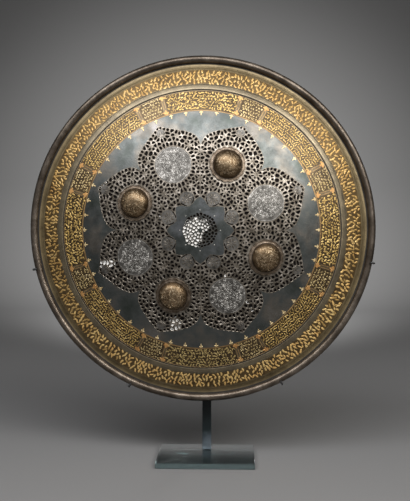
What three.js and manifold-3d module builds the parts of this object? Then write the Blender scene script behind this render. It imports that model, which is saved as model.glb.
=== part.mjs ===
// A round domed hand shield of pierced and gilt steel, upright on its display stand.
//
// Millimetres, +Z up. The face of the shield looks along -Y. The origin is the centre of the
// underside of the glass base plate, which is the surface that the whole object stands on.

import * as THREE from "three";
import { mergeVertices } from "three/addons/utils/BufferGeometryUtils.js";
import Module from "manifold-3d";

// ---------------------------------------------------------------- driving dimensions

const GAP = 0.3; // left between neighbouring pieces that touch

// Shield, measured from its own axis. Depth is counted forward of the plane of the rim.
const RIM_RADIUS = 230;
const RIM_BEAD_RADIUS = 5; // the rolled edge is a round bead
const BEAD_START = -162; // degrees round the bead, from outward: where the back of the plate meets it
const BEAD_END = 168; // and where its front does
const BEAD_STEPS = 5; // on each side of its outermost line
const PLATE_THICKNESS = 1.5;
const CROWN_DEPTH = 63;
const DOME_EDGE_RADIUS = 212; // where the dome ends and the cove begins
const DOME_EDGE_DEPTH = 4;
const COVE_RADIUS = 218.5; // lowest line of the cove, just inside the bead
const COVE_DEPTH = 0.6;
const COVE_DROP = 0.5; // the cove starts to level out this far above its lowest line
const SHIELD_SEGMENTS = 64;
const DOME_STATIONS = 7; // profile points between the axis and the edge of the dome

// Raised moulding between the two gold bands.
const MOULDING_INNER_RADIUS = 183.2;
const MOULDING_OUTER_RADIUS = 190.4;
const MOULDING_HEIGHT = 0.8;
const MOULDING_STATIONS = [0, 0.2, 0.5, 0.8, 1]; // shares of its width with a profile point
const MOULDING_CLEARANCE = 5; // the dome's own profile points stay this far from its foot

// Bosses: four, on one circle, between the four medallions of the plate.
const BOSS_CIRCLE_RADIUS = 90.5;
const BOSS_FIRST_ANGLE = 67.5; // degrees, from +X towards +Z
const BOSS_NAMES = ["boss_upper_right", "boss_upper_left", "boss_lower_left", "boss_lower_right"];
const BOSS_DOME_RADIUS = 18.2;
const BOSS_DOME_HEIGHT = 13;
const BOSS_FLANGE_RADIUS = 23.4;
const BOSS_FLANGE_THICKNESS = 1.4;
const BOSS_FLANGE_LOBES = 16;
const BOSS_FLANGE_LOBE_DEPTH = 0.9;
const BOSS_LOBE_STEPS = 3;
const BOSS_DOME_STEPS = 5;
const BOSS_SEGMENTS = 20;
const BOSS_OVERLAP = 0.5; // the dome and the shank reach this far into the flange
const SHANK_RADIUS = 2.5;
const SHANK_HOLE_RADIUS = 3;
const SHANK_HOLE_LENGTH = 14;
const SHANK_HOLE_SEGMENTS = 12;
const CLENCH_RADIUS = 6;
const CLENCH_THICKNESS = 2.2;
const CLENCH_SHOULDER = 0.75; // share of its radius and thickness where the clench rounds over

// Leather lining, a skin inside the dish, from the axis to the edge of the dome.
const LINING_THICKNESS = 1.3;

// Stand.
const BASE_WIDTH = 130;
const BASE_DEPTH = 102;
const BASE_HEIGHT = 7;
const BASE_BEVEL = 0.6;
const POST_SIDE = 12.2;
const POST_CENTRE_Y = 28.5;
const SHIELD_CENTRE_X = -5.4; // the shield sits a little to one side of its post
const RIM_PLANE_Y = -5;
const SHIELD_CENTRE_Z = 310;

// Cradle arms: a flat bar behind the rim, and a round hook at each end that grips the rim.
const UPPER_HOOK_ANGLES = [-166.6, -11];
const LOWER_HOOK_ANGLES = [-114.9, -62.5];
const ARM_HEIGHT = 8;
const ARM_THICKNESS = 5;
const ARM_END_RADIUS = 214; // each bar ends here, inside the edge of the rim
const STUB_HEIGHT = 7.2; // the short block that joins each bar to the post
const HOOK_ROD_RADIUS = 1.5;
const HOOK_ROOT = 3; // the rod starts this far inside the end of its bar
const HOOK_BEND = 2.4;
const HOOK_LIP = 5; // how far the tip reaches in over the bead
const HOOK_STEPS = 16;

// ---------------------------------------------------------------- solids

const manifold = await Module();
manifold.setup();

function solidFrom(geometry) {
  const plain = geometry.index ? geometry.toNonIndexed() : geometry.clone();
  plain.deleteAttribute("normal");
  plain.deleteAttribute("uv");
  const merged = mergeVertices(plain, 1e-4);
  const vertProperties = new Float32Array(merged.attributes.position.array);
  const corners = merged.index.array;
  const kept = [];
  for (let i = 0; i < corners.length; i += 3) {
    const [a, b, c] = [corners[i], corners[i + 1], corners[i + 2]];
    if (a !== b && b !== c && c !== a) kept.push(a, b, c);
  }
  const triVerts = new Uint32Array(kept);
  return new manifold.Manifold(new manifold.Mesh({ numProp: 3, vertProperties, triVerts }));
}

function geometryFrom(solid) {
  const mesh = solid.getMesh();
  const geometry = new THREE.BufferGeometry();
  geometry.setAttribute("position", new THREE.BufferAttribute(new Float32Array(mesh.vertProperties), 3));
  geometry.setIndex(new THREE.BufferAttribute(new Uint32Array(mesh.triVerts), 1));
  geometry.computeVertexNormals();
  return geometry;
}

function namedMesh(name, geometry, material) {
  const mesh = new THREE.Mesh(geometry, material);
  mesh.name = name;
  return mesh;
}

// ---------------------------------------------------------------- profile of the dome

// Radius of the sphere through the crown and the edge of the dome.
const DOME_RISE = CROWN_DEPTH - DOME_EDGE_DEPTH;
const SPHERE_RADIUS = (DOME_EDGE_RADIUS ** 2 + DOME_RISE ** 2) / (2 * DOME_RISE);

// Depth of the outer face of the plain dome at a distance r from the axis, and the direction
// that it faces there, as [outward, forward].
function domeDepth(r) {
  return CROWN_DEPTH - SPHERE_RADIUS + Math.sqrt(SPHERE_RADIUS ** 2 - r ** 2);
}

function domeNormal(r) {
  return [r / SPHERE_RADIUS, Math.sqrt(1 - (r / SPHERE_RADIUS) ** 2)];
}

function mouldingHeight(r) {
  const t = (r - MOULDING_INNER_RADIUS) / (MOULDING_OUTER_RADIUS - MOULDING_INNER_RADIUS);
  return t > 0 && t < 1 ? MOULDING_HEIGHT * Math.sin(Math.PI * t) : 0;
}

// A point of the dome, moved along its normal by offset (negative is towards the hollow).
function domePoint(r, offset) {
  const [outward, forward] = domeNormal(r);
  return new THREE.Vector2(r + outward * offset, domeDepth(r) + forward * offset);
}

// Distances from the axis at which the hidden faces have a point. The back of the plate and
// both faces of the lining share them, so their facets stay parallel.
const HIDDEN_STATIONS = [];
for (let i = 1; i <= DOME_STATIONS; i += 1) HIDDEN_STATIONS.push((DOME_EDGE_RADIUS * i) / DOME_STATIONS);

// ---------------------------------------------------------------- shield bowl

// The bead: from the back of the plate, round the outside, to the front of the plate.
function beadProfile() {
  const centre = RIM_RADIUS - RIM_BEAD_RADIUS;
  const degrees = [];
  for (let i = 0; i < BEAD_STEPS; i += 1) degrees.push(BEAD_START * (1 - i / BEAD_STEPS));
  for (let i = 0; i <= BEAD_STEPS; i += 1) degrees.push((BEAD_END * i) / BEAD_STEPS);
  return degrees.map((angle) => {
    const turn = THREE.MathUtils.degToRad(angle);
    return new THREE.Vector2(
      centre + RIM_BEAD_RADIUS * Math.cos(turn),
      RIM_BEAD_RADIUS * Math.sin(turn),
    );
  });
}

function bowlProfile() {
  const innerFace = [new THREE.Vector2(0, CROWN_DEPTH - PLATE_THICKNESS)];
  for (const r of HIDDEN_STATIONS) innerFace.push(domePoint(r, -PLATE_THICKNESS));
  innerFace.push(new THREE.Vector2(COVE_RADIUS, COVE_DEPTH - PLATE_THICKNESS));

  const lastPlain = MOULDING_INNER_RADIUS - MOULDING_CLEARANCE;
  const outerStations = HIDDEN_STATIONS.filter((r) => r < lastPlain);
  const mouldingWidth = MOULDING_OUTER_RADIUS - MOULDING_INNER_RADIUS;
  for (const share of MOULDING_STATIONS) outerStations.push(MOULDING_INNER_RADIUS + mouldingWidth * share);
  outerStations.push(DOME_EDGE_RADIUS);
  const outerFace = [new THREE.Vector2(0, CROWN_DEPTH)];
  for (const r of outerStations) outerFace.push(domePoint(r, mouldingHeight(r)));
  outerFace.push(new THREE.Vector2((DOME_EDGE_RADIUS + COVE_RADIUS) / 2, COVE_DEPTH + COVE_DROP));
  outerFace.push(new THREE.Vector2(COVE_RADIUS, COVE_DEPTH));
  return [...innerFace, ...beadProfile(), ...outerFace.reverse()];
}

// Turns a lathed solid so that its axis points forward, along -Y.
function faceForward(geometry) {
  return geometry.rotateX(Math.PI);
}

// Centre of boss number i in the shield's own frame, with its turn: +Y of the boss looks out
// along the normal of the dome.
function bossPlace(i) {
  const angle = THREE.MathUtils.degToRad(BOSS_FIRST_ANGLE + 90 * i);
  const [outward, forward] = domeNormal(BOSS_CIRCLE_RADIUS);
  const radial = new THREE.Vector3(Math.cos(angle), 0, Math.sin(angle));
  const normal = radial.clone().multiplyScalar(outward).add(new THREE.Vector3(0, -forward, 0));
  const position = radial.multiplyScalar(BOSS_CIRCLE_RADIUS);
  position.y = -domeDepth(BOSS_CIRCLE_RADIUS);
  const turn = new THREE.Quaternion().setFromUnitVectors(new THREE.Vector3(0, 1, 0), normal);
  return new THREE.Matrix4().compose(position, turn, new THREE.Vector3(1, 1, 1));
}

function withShankHoles(solid) {
  let pierced = solid;
  for (let i = 0; i < BOSS_NAMES.length; i += 1) {
    const drill = new THREE.CylinderGeometry(
      SHANK_HOLE_RADIUS,
      SHANK_HOLE_RADIUS,
      SHANK_HOLE_LENGTH,
      SHANK_HOLE_SEGMENTS,
    );
    pierced = pierced.subtract(solidFrom(drill.applyMatrix4(bossPlace(i))));
  }
  return pierced;
}

function shieldBowl() {
  const blank = faceForward(new THREE.LatheGeometry(bowlProfile(), SHIELD_SEGMENTS));
  const steel = new THREE.MeshStandardMaterial({ color: 0x5b5f5e, roughness: 0.42, metalness: 0.9 });
  return namedMesh("shield_bowl", geometryFrom(withShankHoles(solidFrom(blank))), steel);
}

// ---------------------------------------------------------------- lining

function lining() {
  const front = -PLATE_THICKNESS - GAP;
  const back = front - LINING_THICKNESS;
  const frontFace = HIDDEN_STATIONS.map((r) => domePoint(r, front));
  const backFace = HIDDEN_STATIONS.map((r) => domePoint(r, back));
  frontFace.unshift(new THREE.Vector2(0, CROWN_DEPTH + front));
  backFace.unshift(new THREE.Vector2(0, CROWN_DEPTH + back));
  const profile = [...backFace, ...frontFace.reverse()];
  const blank = faceForward(new THREE.LatheGeometry(profile, SHIELD_SEGMENTS));
  const leather = new THREE.MeshStandardMaterial({ color: 0x15110d, roughness: 0.85, metalness: 0 });
  return namedMesh("lining", geometryFrom(withShankHoles(solidFrom(blank))), leather);
}

// ---------------------------------------------------------------- bosses

// A flat disc with a lobed edge, drawn in XY and thickened upward.
function lobedFlange() {
  const outline = [];
  const steps = BOSS_FLANGE_LOBES * BOSS_LOBE_STEPS;
  for (let i = 0; i < steps; i += 1) {
    const angle = (2 * Math.PI * i) / steps;
    const lobe = Math.abs(Math.sin((BOSS_FLANGE_LOBES / 2) * angle));
    const r = BOSS_FLANGE_RADIUS - BOSS_FLANGE_LOBE_DEPTH * (1 - lobe);
    outline.push(new THREE.Vector2(r * Math.cos(angle), r * Math.sin(angle)));
  }
  const flat = new THREE.ExtrudeGeometry(new THREE.Shape(outline), {
    depth: BOSS_FLANGE_THICKNESS,
    bevelEnabled: false,
  });
  return flat.rotateX(-Math.PI / 2).translate(0, GAP, 0);
}

function bossBody() {
  const top = BOSS_DOME_HEIGHT + GAP;
  const foot = GAP + BOSS_FLANGE_THICKNESS;
  const buried = GAP + BOSS_OVERLAP;
  const back = -(PLATE_THICKNESS + LINING_THICKNESS + 3 * GAP);
  const profile = [
    new THREE.Vector2(0, back - CLENCH_THICKNESS),
    new THREE.Vector2(CLENCH_RADIUS * CLENCH_SHOULDER, back - CLENCH_THICKNESS * CLENCH_SHOULDER),
    new THREE.Vector2(CLENCH_RADIUS, back),
    new THREE.Vector2(SHANK_RADIUS, back),
    new THREE.Vector2(SHANK_RADIUS, buried),
    new THREE.Vector2(BOSS_DOME_RADIUS, buried),
  ];
  for (let i = 0; i < BOSS_DOME_STEPS; i += 1) {
    const angle = (0.5 * Math.PI * i) / BOSS_DOME_STEPS;
    const height = foot + (top - foot) * Math.sin(angle);
    profile.push(new THREE.Vector2(BOSS_DOME_RADIUS * Math.cos(angle), height));
  }
  profile.push(new THREE.Vector2(0, top));
  return new THREE.LatheGeometry(profile, BOSS_SEGMENTS);
}

function boss(i) {
  const solid = solidFrom(lobedFlange()).add(solidFrom(bossBody()));
  const bronze = new THREE.MeshStandardMaterial({ color: 0x7a5a3c, roughness: 0.45, metalness: 0.85 });
  const geometry = geometryFrom(solid).applyMatrix4(bossPlace(i));
  return namedMesh(BOSS_NAMES[i], geometry, bronze);
}

// ---------------------------------------------------------------- stand

function basePlate() {
  const halfWidth = BASE_WIDTH / 2 - BASE_BEVEL;
  const halfDepth = BASE_DEPTH / 2 - BASE_BEVEL;
  const outline = new THREE.Shape();
  outline.moveTo(-halfWidth, -halfDepth);
  outline.lineTo(halfWidth, -halfDepth);
  outline.lineTo(halfWidth, halfDepth);
  outline.lineTo(-halfWidth, halfDepth);
  const geometry = new THREE.ExtrudeGeometry(outline, {
    depth: BASE_HEIGHT - 2 * BASE_BEVEL,
    bevelEnabled: true,
    bevelThickness: BASE_BEVEL,
    bevelSize: BASE_BEVEL,
    bevelSegments: 1,
  });
  geometry.translate(0, 0, BASE_BEVEL);
  const glass = new THREE.MeshStandardMaterial({ color: 0x8fa3a4, roughness: 0.05, metalness: 0 });
  glass.transparent = true;
  glass.opacity = 0.35;
  return namedMesh("base_plate", geometry, glass);
}

// Point on the rim circle, in the object's own frame.
function rimPoint(radius, degrees, y) {
  const angle = THREE.MathUtils.degToRad(degrees);
  const x = SHIELD_CENTRE_X + radius * Math.cos(angle);
  return new THREE.Vector3(x, y, SHIELD_CENTRE_Z + radius * Math.sin(angle));
}

const ARM_FRONT_Y = RIM_PLANE_Y + RIM_BEAD_RADIUS + GAP;
const POST_FRONT_Y = POST_CENTRE_Y - POST_SIDE / 2;

// Hook: out past the rim, forward beside it, then in over the bead.
function hook(degrees) {
  const runRadius = RIM_RADIUS + GAP + HOOK_ROD_RADIUS;
  const backY = ARM_FRONT_Y + ARM_THICKNESS / 2;
  const frontY = RIM_PLANE_Y - RIM_BEAD_RADIUS - GAP - HOOK_ROD_RADIUS;
  const path = new THREE.CurvePath();
  const start = rimPoint(ARM_END_RADIUS - HOOK_ROOT, degrees, backY);
  const outer = rimPoint(runRadius - HOOK_BEND, degrees, backY);
  const turned = rimPoint(runRadius, degrees, backY - HOOK_BEND);
  const fore = rimPoint(runRadius, degrees, frontY + HOOK_BEND);
  const folded = rimPoint(runRadius - HOOK_BEND, degrees, frontY);
  const tip = rimPoint(runRadius - HOOK_LIP, degrees, frontY);
  path.add(new THREE.LineCurve3(start, outer));
  path.add(new THREE.QuadraticBezierCurve3(outer, rimPoint(runRadius, degrees, backY), turned));
  path.add(new THREE.LineCurve3(turned, fore));
  path.add(new THREE.QuadraticBezierCurve3(fore, rimPoint(runRadius, degrees, frontY), folded));
  path.add(new THREE.LineCurve3(folded, tip));
  const section = new THREE.Shape();
  section.absarc(0, 0, HOOK_ROD_RADIUS, 0, 2 * Math.PI);
  const rod = new THREE.ExtrudeGeometry(section, {
    steps: HOOK_STEPS,
    curveSegments: 4,
    bevelEnabled: false,
    extrudePath: path,
  });
  return solidFrom(rod);
}

function cradleArm(name, hookAngles) {
  const [left, right] = hookAngles.map((degrees) => rimPoint(ARM_END_RADIUS, degrees, 0));
  const run = right.clone().sub(left);
  const tilt = Math.atan2(run.z, run.x);
  const middleY = ARM_FRONT_Y + ARM_THICKNESS / 2;
  const bar = new THREE.BoxGeometry(run.length(), ARM_THICKNESS, ARM_HEIGHT);
  bar.rotateY(-tilt);
  bar.translate((left.x + right.x) / 2, middleY, (left.z + right.z) / 2);
  let solid = solidFrom(bar);

  // The stub that joins the bar to the front of the post.
  const heightAtPost = left.z + (0 - left.x) * Math.tan(tilt);
  const stubFront = middleY;
  const stubBack = POST_FRONT_Y - GAP;
  const stub = new THREE.BoxGeometry(POST_SIDE, stubBack - stubFront, STUB_HEIGHT);
  stub.translate(0, (stubBack + stubFront) / 2, heightAtPost);
  solid = solid.add(solidFrom(stub));
  for (const degrees of hookAngles) solid = solid.add(hook(degrees));
  const black = new THREE.MeshStandardMaterial({ color: 0x17191a, roughness: 0.5, metalness: 0.6 });
  return { mesh: namedMesh(name, geometryFrom(solid), black), heightAtPost };
}

function standPost(topZ) {
  const bottomZ = BASE_HEIGHT + GAP;
  const geometry = new THREE.BoxGeometry(POST_SIDE, POST_SIDE, topZ - bottomZ);
  geometry.translate(0, POST_CENTRE_Y, (topZ + bottomZ) / 2);
  const blued = new THREE.MeshStandardMaterial({ color: 0x1d2327, roughness: 0.25, metalness: 0.8 });
  return namedMesh("stand_post", geometry, blued);
}

// ---------------------------------------------------------------- the object

const shield = new THREE.Group();
shield.position.set(SHIELD_CENTRE_X, RIM_PLANE_Y, SHIELD_CENTRE_Z);
shield.add(shieldBowl());
shield.add(lining());
for (let i = 0; i < BOSS_NAMES.length; i += 1) shield.add(boss(i));

const stand = new THREE.Group();
const upperArm = cradleArm("upper_cradle_arm", UPPER_HOOK_ANGLES);
const lowerArm = cradleArm("lower_cradle_arm", LOWER_HOOK_ANGLES);
stand.add(basePlate());
stand.add(standPost(upperArm.heightAtPost + ARM_HEIGHT));
stand.add(lowerArm.mesh);
stand.add(upperArm.mesh);

const shieldOnStand = new THREE.Group();
shieldOnStand.add(shield);
shieldOnStand.add(stand);

export default shieldOnStand;
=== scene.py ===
# %% [markdown]
# # A pierced and gilt hand shield on its stand
#
# The object is a domed round shield of thin steel. Its middle is sawn through with a rosette of
# eight petals, two bands near the edge are inlaid with gold, and four bosses are riveted on. It
# stands upright on a post with a glass foot, held by two bars whose ends hook round the rim.
#
# The solids of the object come in first, as a fixed frame. Every place below is read from them,
# so that the fine surfaces land exactly on the plain ones.

# %% Load the frame
import math

import bmesh
import bpy
import numpy as np
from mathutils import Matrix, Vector
from mathutils.geometry import delaunay_2d_cdt


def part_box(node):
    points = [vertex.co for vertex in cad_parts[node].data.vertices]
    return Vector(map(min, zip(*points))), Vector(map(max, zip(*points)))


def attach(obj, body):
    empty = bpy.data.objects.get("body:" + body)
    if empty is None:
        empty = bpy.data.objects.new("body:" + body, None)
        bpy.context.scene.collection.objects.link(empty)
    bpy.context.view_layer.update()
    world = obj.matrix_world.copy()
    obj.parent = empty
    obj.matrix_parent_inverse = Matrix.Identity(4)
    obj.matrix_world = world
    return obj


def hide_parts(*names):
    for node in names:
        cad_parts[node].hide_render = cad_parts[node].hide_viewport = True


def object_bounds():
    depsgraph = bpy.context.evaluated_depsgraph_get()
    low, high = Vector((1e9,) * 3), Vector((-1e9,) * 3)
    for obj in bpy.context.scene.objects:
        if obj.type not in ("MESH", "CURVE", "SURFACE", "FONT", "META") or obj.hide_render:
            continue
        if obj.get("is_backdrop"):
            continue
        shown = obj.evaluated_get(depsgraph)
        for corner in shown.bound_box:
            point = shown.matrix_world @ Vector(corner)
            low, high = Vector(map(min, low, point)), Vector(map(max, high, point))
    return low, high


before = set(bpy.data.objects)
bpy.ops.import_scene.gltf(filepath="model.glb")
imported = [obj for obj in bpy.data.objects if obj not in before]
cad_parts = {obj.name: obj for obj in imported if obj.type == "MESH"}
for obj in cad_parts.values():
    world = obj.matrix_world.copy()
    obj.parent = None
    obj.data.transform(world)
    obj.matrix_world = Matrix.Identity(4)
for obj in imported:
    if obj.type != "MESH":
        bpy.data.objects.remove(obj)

cad_low, cad_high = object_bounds()
print("nodes in the frame:", sorted(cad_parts))

# %% [markdown]
# ## The shape that everything lies on
#
# The face of the shield is part of a large sphere. A smith raises such a dome over a stake, from
# one sheet. All the ornament is laid out flat, in millimetres from the axis, and then dropped
# onto the dome by one function. That is how an engraver works too: the pattern is drawn with
# compasses on paper first.

# %% Sizes of the shield, read from the frame
MM = 0.001
BEAD_RADIUS = 5.0  # the rolled edge
DOME_EDGE_RADIUS = 212.0  # where the dome ends and the cove begins
DOME_EDGE_DEPTH = 4.0
PLATE_THICKNESS = 1.5

bowl_low, bowl_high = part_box("shield_bowl")
RIM_RADIUS = (bowl_high.x - bowl_low.x) / 2 / MM
CENTRE_X = (bowl_high.x + bowl_low.x) / 2 / MM
CENTRE_Z = (bowl_high.z + bowl_low.z) / 2 / MM
RIM_Y = bowl_high.y / MM - BEAD_RADIUS
CROWN_DEPTH = RIM_Y - bowl_low.y / MM
DOME_RISE = CROWN_DEPTH - DOME_EDGE_DEPTH
SPHERE_RADIUS = (DOME_EDGE_RADIUS**2 + DOME_RISE**2) / (2 * DOME_RISE)
print(f"rim radius {RIM_RADIUS:.1f} mm, crown {CROWN_DEPTH:.1f} mm, sphere {SPHERE_RADIUS:.1f} mm")


# %% Drop flat points onto the dome
def dome_depth(r):
    """How far the dome stands in front of the rim, at a distance r from the axis, in mm."""
    return CROWN_DEPTH - SPHERE_RADIUS + np.sqrt(SPHERE_RADIUS**2 - r**2)


def on_dome(flat, lift=0.0):
    """Flat points (across, up) in mm, raised by lift off the dome, as places in metres."""
    flat = np.asarray(flat, float)
    r = np.hypot(flat[:, 0], flat[:, 1])
    outward = flat / SPHERE_RADIUS
    forward = np.sqrt(1 - (r / SPHERE_RADIUS) ** 2)
    x = CENTRE_X + flat[:, 0] + outward[:, 0] * lift
    y = RIM_Y - dome_depth(r) - forward * lift
    z = CENTRE_Z + flat[:, 1] + outward[:, 1] * lift
    return np.stack([x, y, z], axis=1) * MM


def polar(r, degrees):
    """Points at a distance and a direction from the axis, both of which may be lists."""
    a = np.radians(degrees)
    return np.stack([r * np.cos(a), r * np.sin(a)], axis=-1)


def turned(flat, degrees):
    """Flat points turned about the axis."""
    a = math.radians(degrees)
    return np.asarray(flat) @ np.array([[math.cos(a), math.sin(a)], [-math.sin(a), math.cos(a)]])


# %% Make a mesh piece from parts
def joined(parts):
    """Joins (points, faces) pairs into one pair."""
    points, faces, start = [], [], 0
    for part_points, part_faces in parts:
        points.append(part_points)
        faces.extend([[start + i for i in face] for face in part_faces])
        start += len(part_points)
    return np.vstack(points), faces


def ring_faces(a, b, sides):
    """Faces between two closed rings of points whose numbers start at a and at b."""
    return [[a + i, a + (i + 1) % sides, b + (i + 1) % sides, b + i] for i in range(sides)]


def placed(name, data):
    """A new object of the scene that holds this mesh, light or camera."""
    made = bpy.data.objects.new(name, data)
    bpy.context.scene.collection.objects.link(made)
    return made


def make_piece(name, solid, finishes, kinds=None, crease=35):
    """A mesh that rides on the object's one body. finishes are names, kinds one for each face."""
    points, faces = solid
    mesh = bpy.data.meshes.new(name)
    mesh.from_pydata(points.tolist(), [], faces)
    for finish in finishes:
        mesh.materials.append(bpy.data.materials[finish])
    if kinds is not None:
        mesh.polygons.foreach_set("material_index", kinds)
    mesh.polygons.foreach_set("use_smooth", [True] * len(mesh.polygons))
    mesh.set_sharp_from_angle(angle=math.radians(crease))
    mesh.validate()
    piece = placed(name, mesh)
    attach(piece, "root")
    print(f"{name}: {sum(len(p.vertices) - 2 for p in mesh.polygons)} triangles")
    return piece


def weld(piece, metres, face_outward=True):
    """Joins the corners that lie closer together than this."""
    work = bmesh.new()
    work.from_mesh(piece.data)
    bmesh.ops.remove_doubles(work, verts=work.verts, dist=metres)
    if face_outward:
        bmesh.ops.recalc_face_normals(work, faces=work.faces)
    print(f"{piece.name}: {sum(e.is_boundary for e in work.edges)} open edges")
    work.to_mesh(piece.data)
    work.free()


# %% [markdown]
# ## The camera
#
# The camera stands a little to the right of the axis and a little above it, about 1.25 m in
# front of the rim. Its aim is a point just below the centre, which leaves room for the foot.

# %% Camera
CAMERA_FROM_CENTRE = (49.7, -1246.9, 24.1)
AIM_FROM_CENTRE = (4.0, 0.0, -28.0)
LENS_MM = 67.3
SENSOR_MM = 36.0


def aimed(thing, place, target):
    """Puts a camera or a light at a place and points it at a target."""
    thing.location = place
    thing.rotation_mode = "QUATERNION"
    thing.rotation_quaternion = (Vector(target) - thing.location).to_track_quat("-Z", "Y")


shield_centre = Vector((CENTRE_X, RIM_Y, CENTRE_Z))
aim = (shield_centre + Vector(AIM_FROM_CENTRE)) * MM
camera = placed("camera", bpy.data.cameras.new("camera"))
camera.data.lens = LENS_MM
camera.data.sensor_width = SENSOR_MM
aimed(camera, (shield_centre + Vector(CAMERA_FROM_CENTRE)) * MM, aim)
bpy.context.scene.camera = camera
print("camera is", round((aim - camera.location).length, 3), "m from its aim")

# %% [markdown]
# ## Finishes
#
# Old steel is never one colour. Each finish below starts from one shader and lets a cloudy noise
# move its colour and its roughness between two values, at the scale of real tarnish. A second,
# finer noise makes the slight unevenness that a hammer and a file leave. Plain values, such as
# how metallic the surface is, sit on the shader itself.


# %% Helpers that wire up a finish
MIDDLE_OF_NOISE = (0.35, 0.65)  # nearly all of a noise lies between these
COAT_ROUGHNESS = 0.42
WEAR_SCALE = 3.3  # patches of wear are this much smaller than patches of colour


def new_finish(name, values):
    """A material and its shader, with plain values for some of the shader's sockets."""
    finish = bpy.data.materials.new(name)
    finish.use_nodes = True
    shader = finish.node_tree.nodes["Principled BSDF"]
    for socket, value in values.items():
        shader.inputs[socket].default_value = value
    return finish, shader


def link(finish, out, to):
    finish.node_tree.links.new(out, to)


def node(finish, kind, values=(), **settings):
    """A node with plain values for some of its sockets, and with its own settings."""
    made = finish.node_tree.nodes.new(kind)
    for key, value in settings.items():
        setattr(made, key, value)
    for socket, value in dict(values).items():
        made.inputs[socket].default_value = value
    return made


def object_place(finish, kind, values=()):
    """A node of some kind that is fed with places on the object."""
    made = node(finish, kind, values)
    link(finish, node(finish, "ShaderNodeTexCoord").outputs["Object"], made.inputs["Vector"])
    return made


def cloud(finish, per_metre, detail=6.0):
    """A noise over the object, with so many features in a metre."""
    values = {"Scale": per_metre, "Detail": detail, "Roughness": 0.6}
    return object_place(finish, "ShaderNodeTexNoise", values).outputs["Fac"]


def height_of(finish):
    """The height above the floor, in metres."""
    return object_place(finish, "ShaderNodeSeparateXYZ").outputs["Z"]


def ramp(finish, fac, stops):
    """Turns a number into a colour. stops are (position, red, green, blue)."""
    made = node(finish, "ShaderNodeValToRGB")
    elements = made.color_ramp.elements
    while len(elements) < len(stops):
        elements.new(0.5)
    for element, (position, *colour) in zip(elements, stops):
        element.position = position
        element.color = (*colour, 1.0)
    link(finish, fac, made.inputs["Fac"])
    return made.outputs["Color"]


def spread(finish, fac, low, high, between=MIDDLE_OF_NOISE):
    """Maps what lies between two values, as a rule the middle of a noise, onto low to high."""
    values = {"From Min": between[0], "From Max": between[1], "To Min": low, "To Max": high}
    made = node(finish, "ShaderNodeMapRange", values)
    link(finish, fac, made.inputs["Value"])
    return made.outputs["Result"]


def added(finish, first, second):
    made = node(finish, "ShaderNodeMath", operation="ADD")
    link(finish, first, made.inputs[0])
    link(finish, second, made.inputs[1])
    return made.outputs[0]


def bumped(finish, shader, depth, metres):
    bump = node(finish, "ShaderNodeBump", {"Distance": metres, "Strength": 1.0})
    link(finish, depth, bump.inputs["Height"])
    link(finish, bump.outputs["Normal"], shader.inputs["Normal"])


def mottled(name, metallic, smooth, rough, patches, coat, *stops, grain=900, dent=0.00012):
    """A worn surface: colour stops over a cloud, roughness over another, and a fine bump."""
    values = {"Metallic": metallic, "Coat Weight": coat, "Coat Roughness": COAT_ROUGHNESS}
    finish, shader = new_finish(name, values)
    link(finish, ramp(finish, cloud(finish, patches), stops), shader.inputs["Base Color"])
    wear = cloud(finish, patches * WEAR_SCALE, detail=8.0)
    link(finish, spread(finish, wear, smooth, rough), shader.inputs["Roughness"])
    bumped(finish, shader, cloud(finish, grain, detail=3.0), dent)
    return finish


# %% Steel finishes
# Name, metallic, least and most roughness, patches in a metre, coat, and then the colour stops:
# place in the cloud, red, green, blue.
STEELS = (
    ("field_steel", 0.95, 0.34, 0.48, 22, 0.0, (0.30, 0.059, 0.070, 0.060),
     (0.48, 0.113, 0.120, 0.115), (0.60, 0.170, 0.155, 0.133), (0.76, 0.235, 0.226, 0.226)),
    ("star_steel", 0.95, 0.36, 0.50, 34, 0.0, (0.30, 0.050, 0.058, 0.051),
     (0.50, 0.088, 0.096, 0.092), (0.72, 0.150, 0.156, 0.166)),
    # hole_wall is also used in the crease inside the rolled edge, as painted shadow.
    ("hole_wall", 0.2, 0.7, 0.9, 25, 0.0, (0.30, 0.012, 0.010, 0.008), (0.70, 0.03, 0.024, 0.018)),
    ("moulding_steel", 0.9, 0.36, 0.50, 60, 1.0, (0.30, 0.135, 0.104, 0.058),
     (0.70, 0.28, 0.222, 0.130)),
    ("rim_steel", 0.9, 0.32, 0.48, 60, 0.0, (0.30, 0.062, 0.048, 0.036),
     (0.52, 0.125, 0.101, 0.079), (0.75, 0.22, 0.184, 0.148)),
    ("cove_steel", 0.8, 0.50, 0.66, 60, 0.45, (0.30, 0.135, 0.098, 0.046),
     (0.70, 0.265, 0.203, 0.105)),
    ("back_steel", 0.8, 0.50, 0.70, 18, 0.0, (0.30, 0.07, 0.06, 0.05), (0.70, 0.16, 0.145, 0.13)),
    ("inner_ground", 0.9, 0.42, 0.56, 70, 0.55, (0.30, 0.045, 0.027, 0.010),
     (0.75, 0.135, 0.084, 0.034)),
    ("band_ground", 0.9, 0.40, 0.54, 70, 0.7, (0.30, 0.095, 0.055, 0.015),
     (0.75, 0.225, 0.140, 0.045)),
    ("medallion_steel", 0.85, 0.42, 0.58, 130, 0.0, (0.32, 0.052, 0.049, 0.043),
     (0.68, 0.215, 0.202, 0.183)),
    ("chalk", 0.0, 0.8, 0.95, 200, 0.0, (0.30, 0.80, 0.79, 0.76), (0.70, 0.92, 0.91, 0.89)),
)
for row in STEELS:
    mottled(*row)
mottled("cut_steel", 0.92, 0.34, 0.50, 150, 0.0, (0.32, 0.070, 0.056, 0.042),
        (0.50, 0.20, 0.175, 0.142), (0.68, 0.48, 0.43, 0.37), grain=700, dent=0.0003)
print("finishes of the plate:", len(bpy.data.materials))
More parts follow.
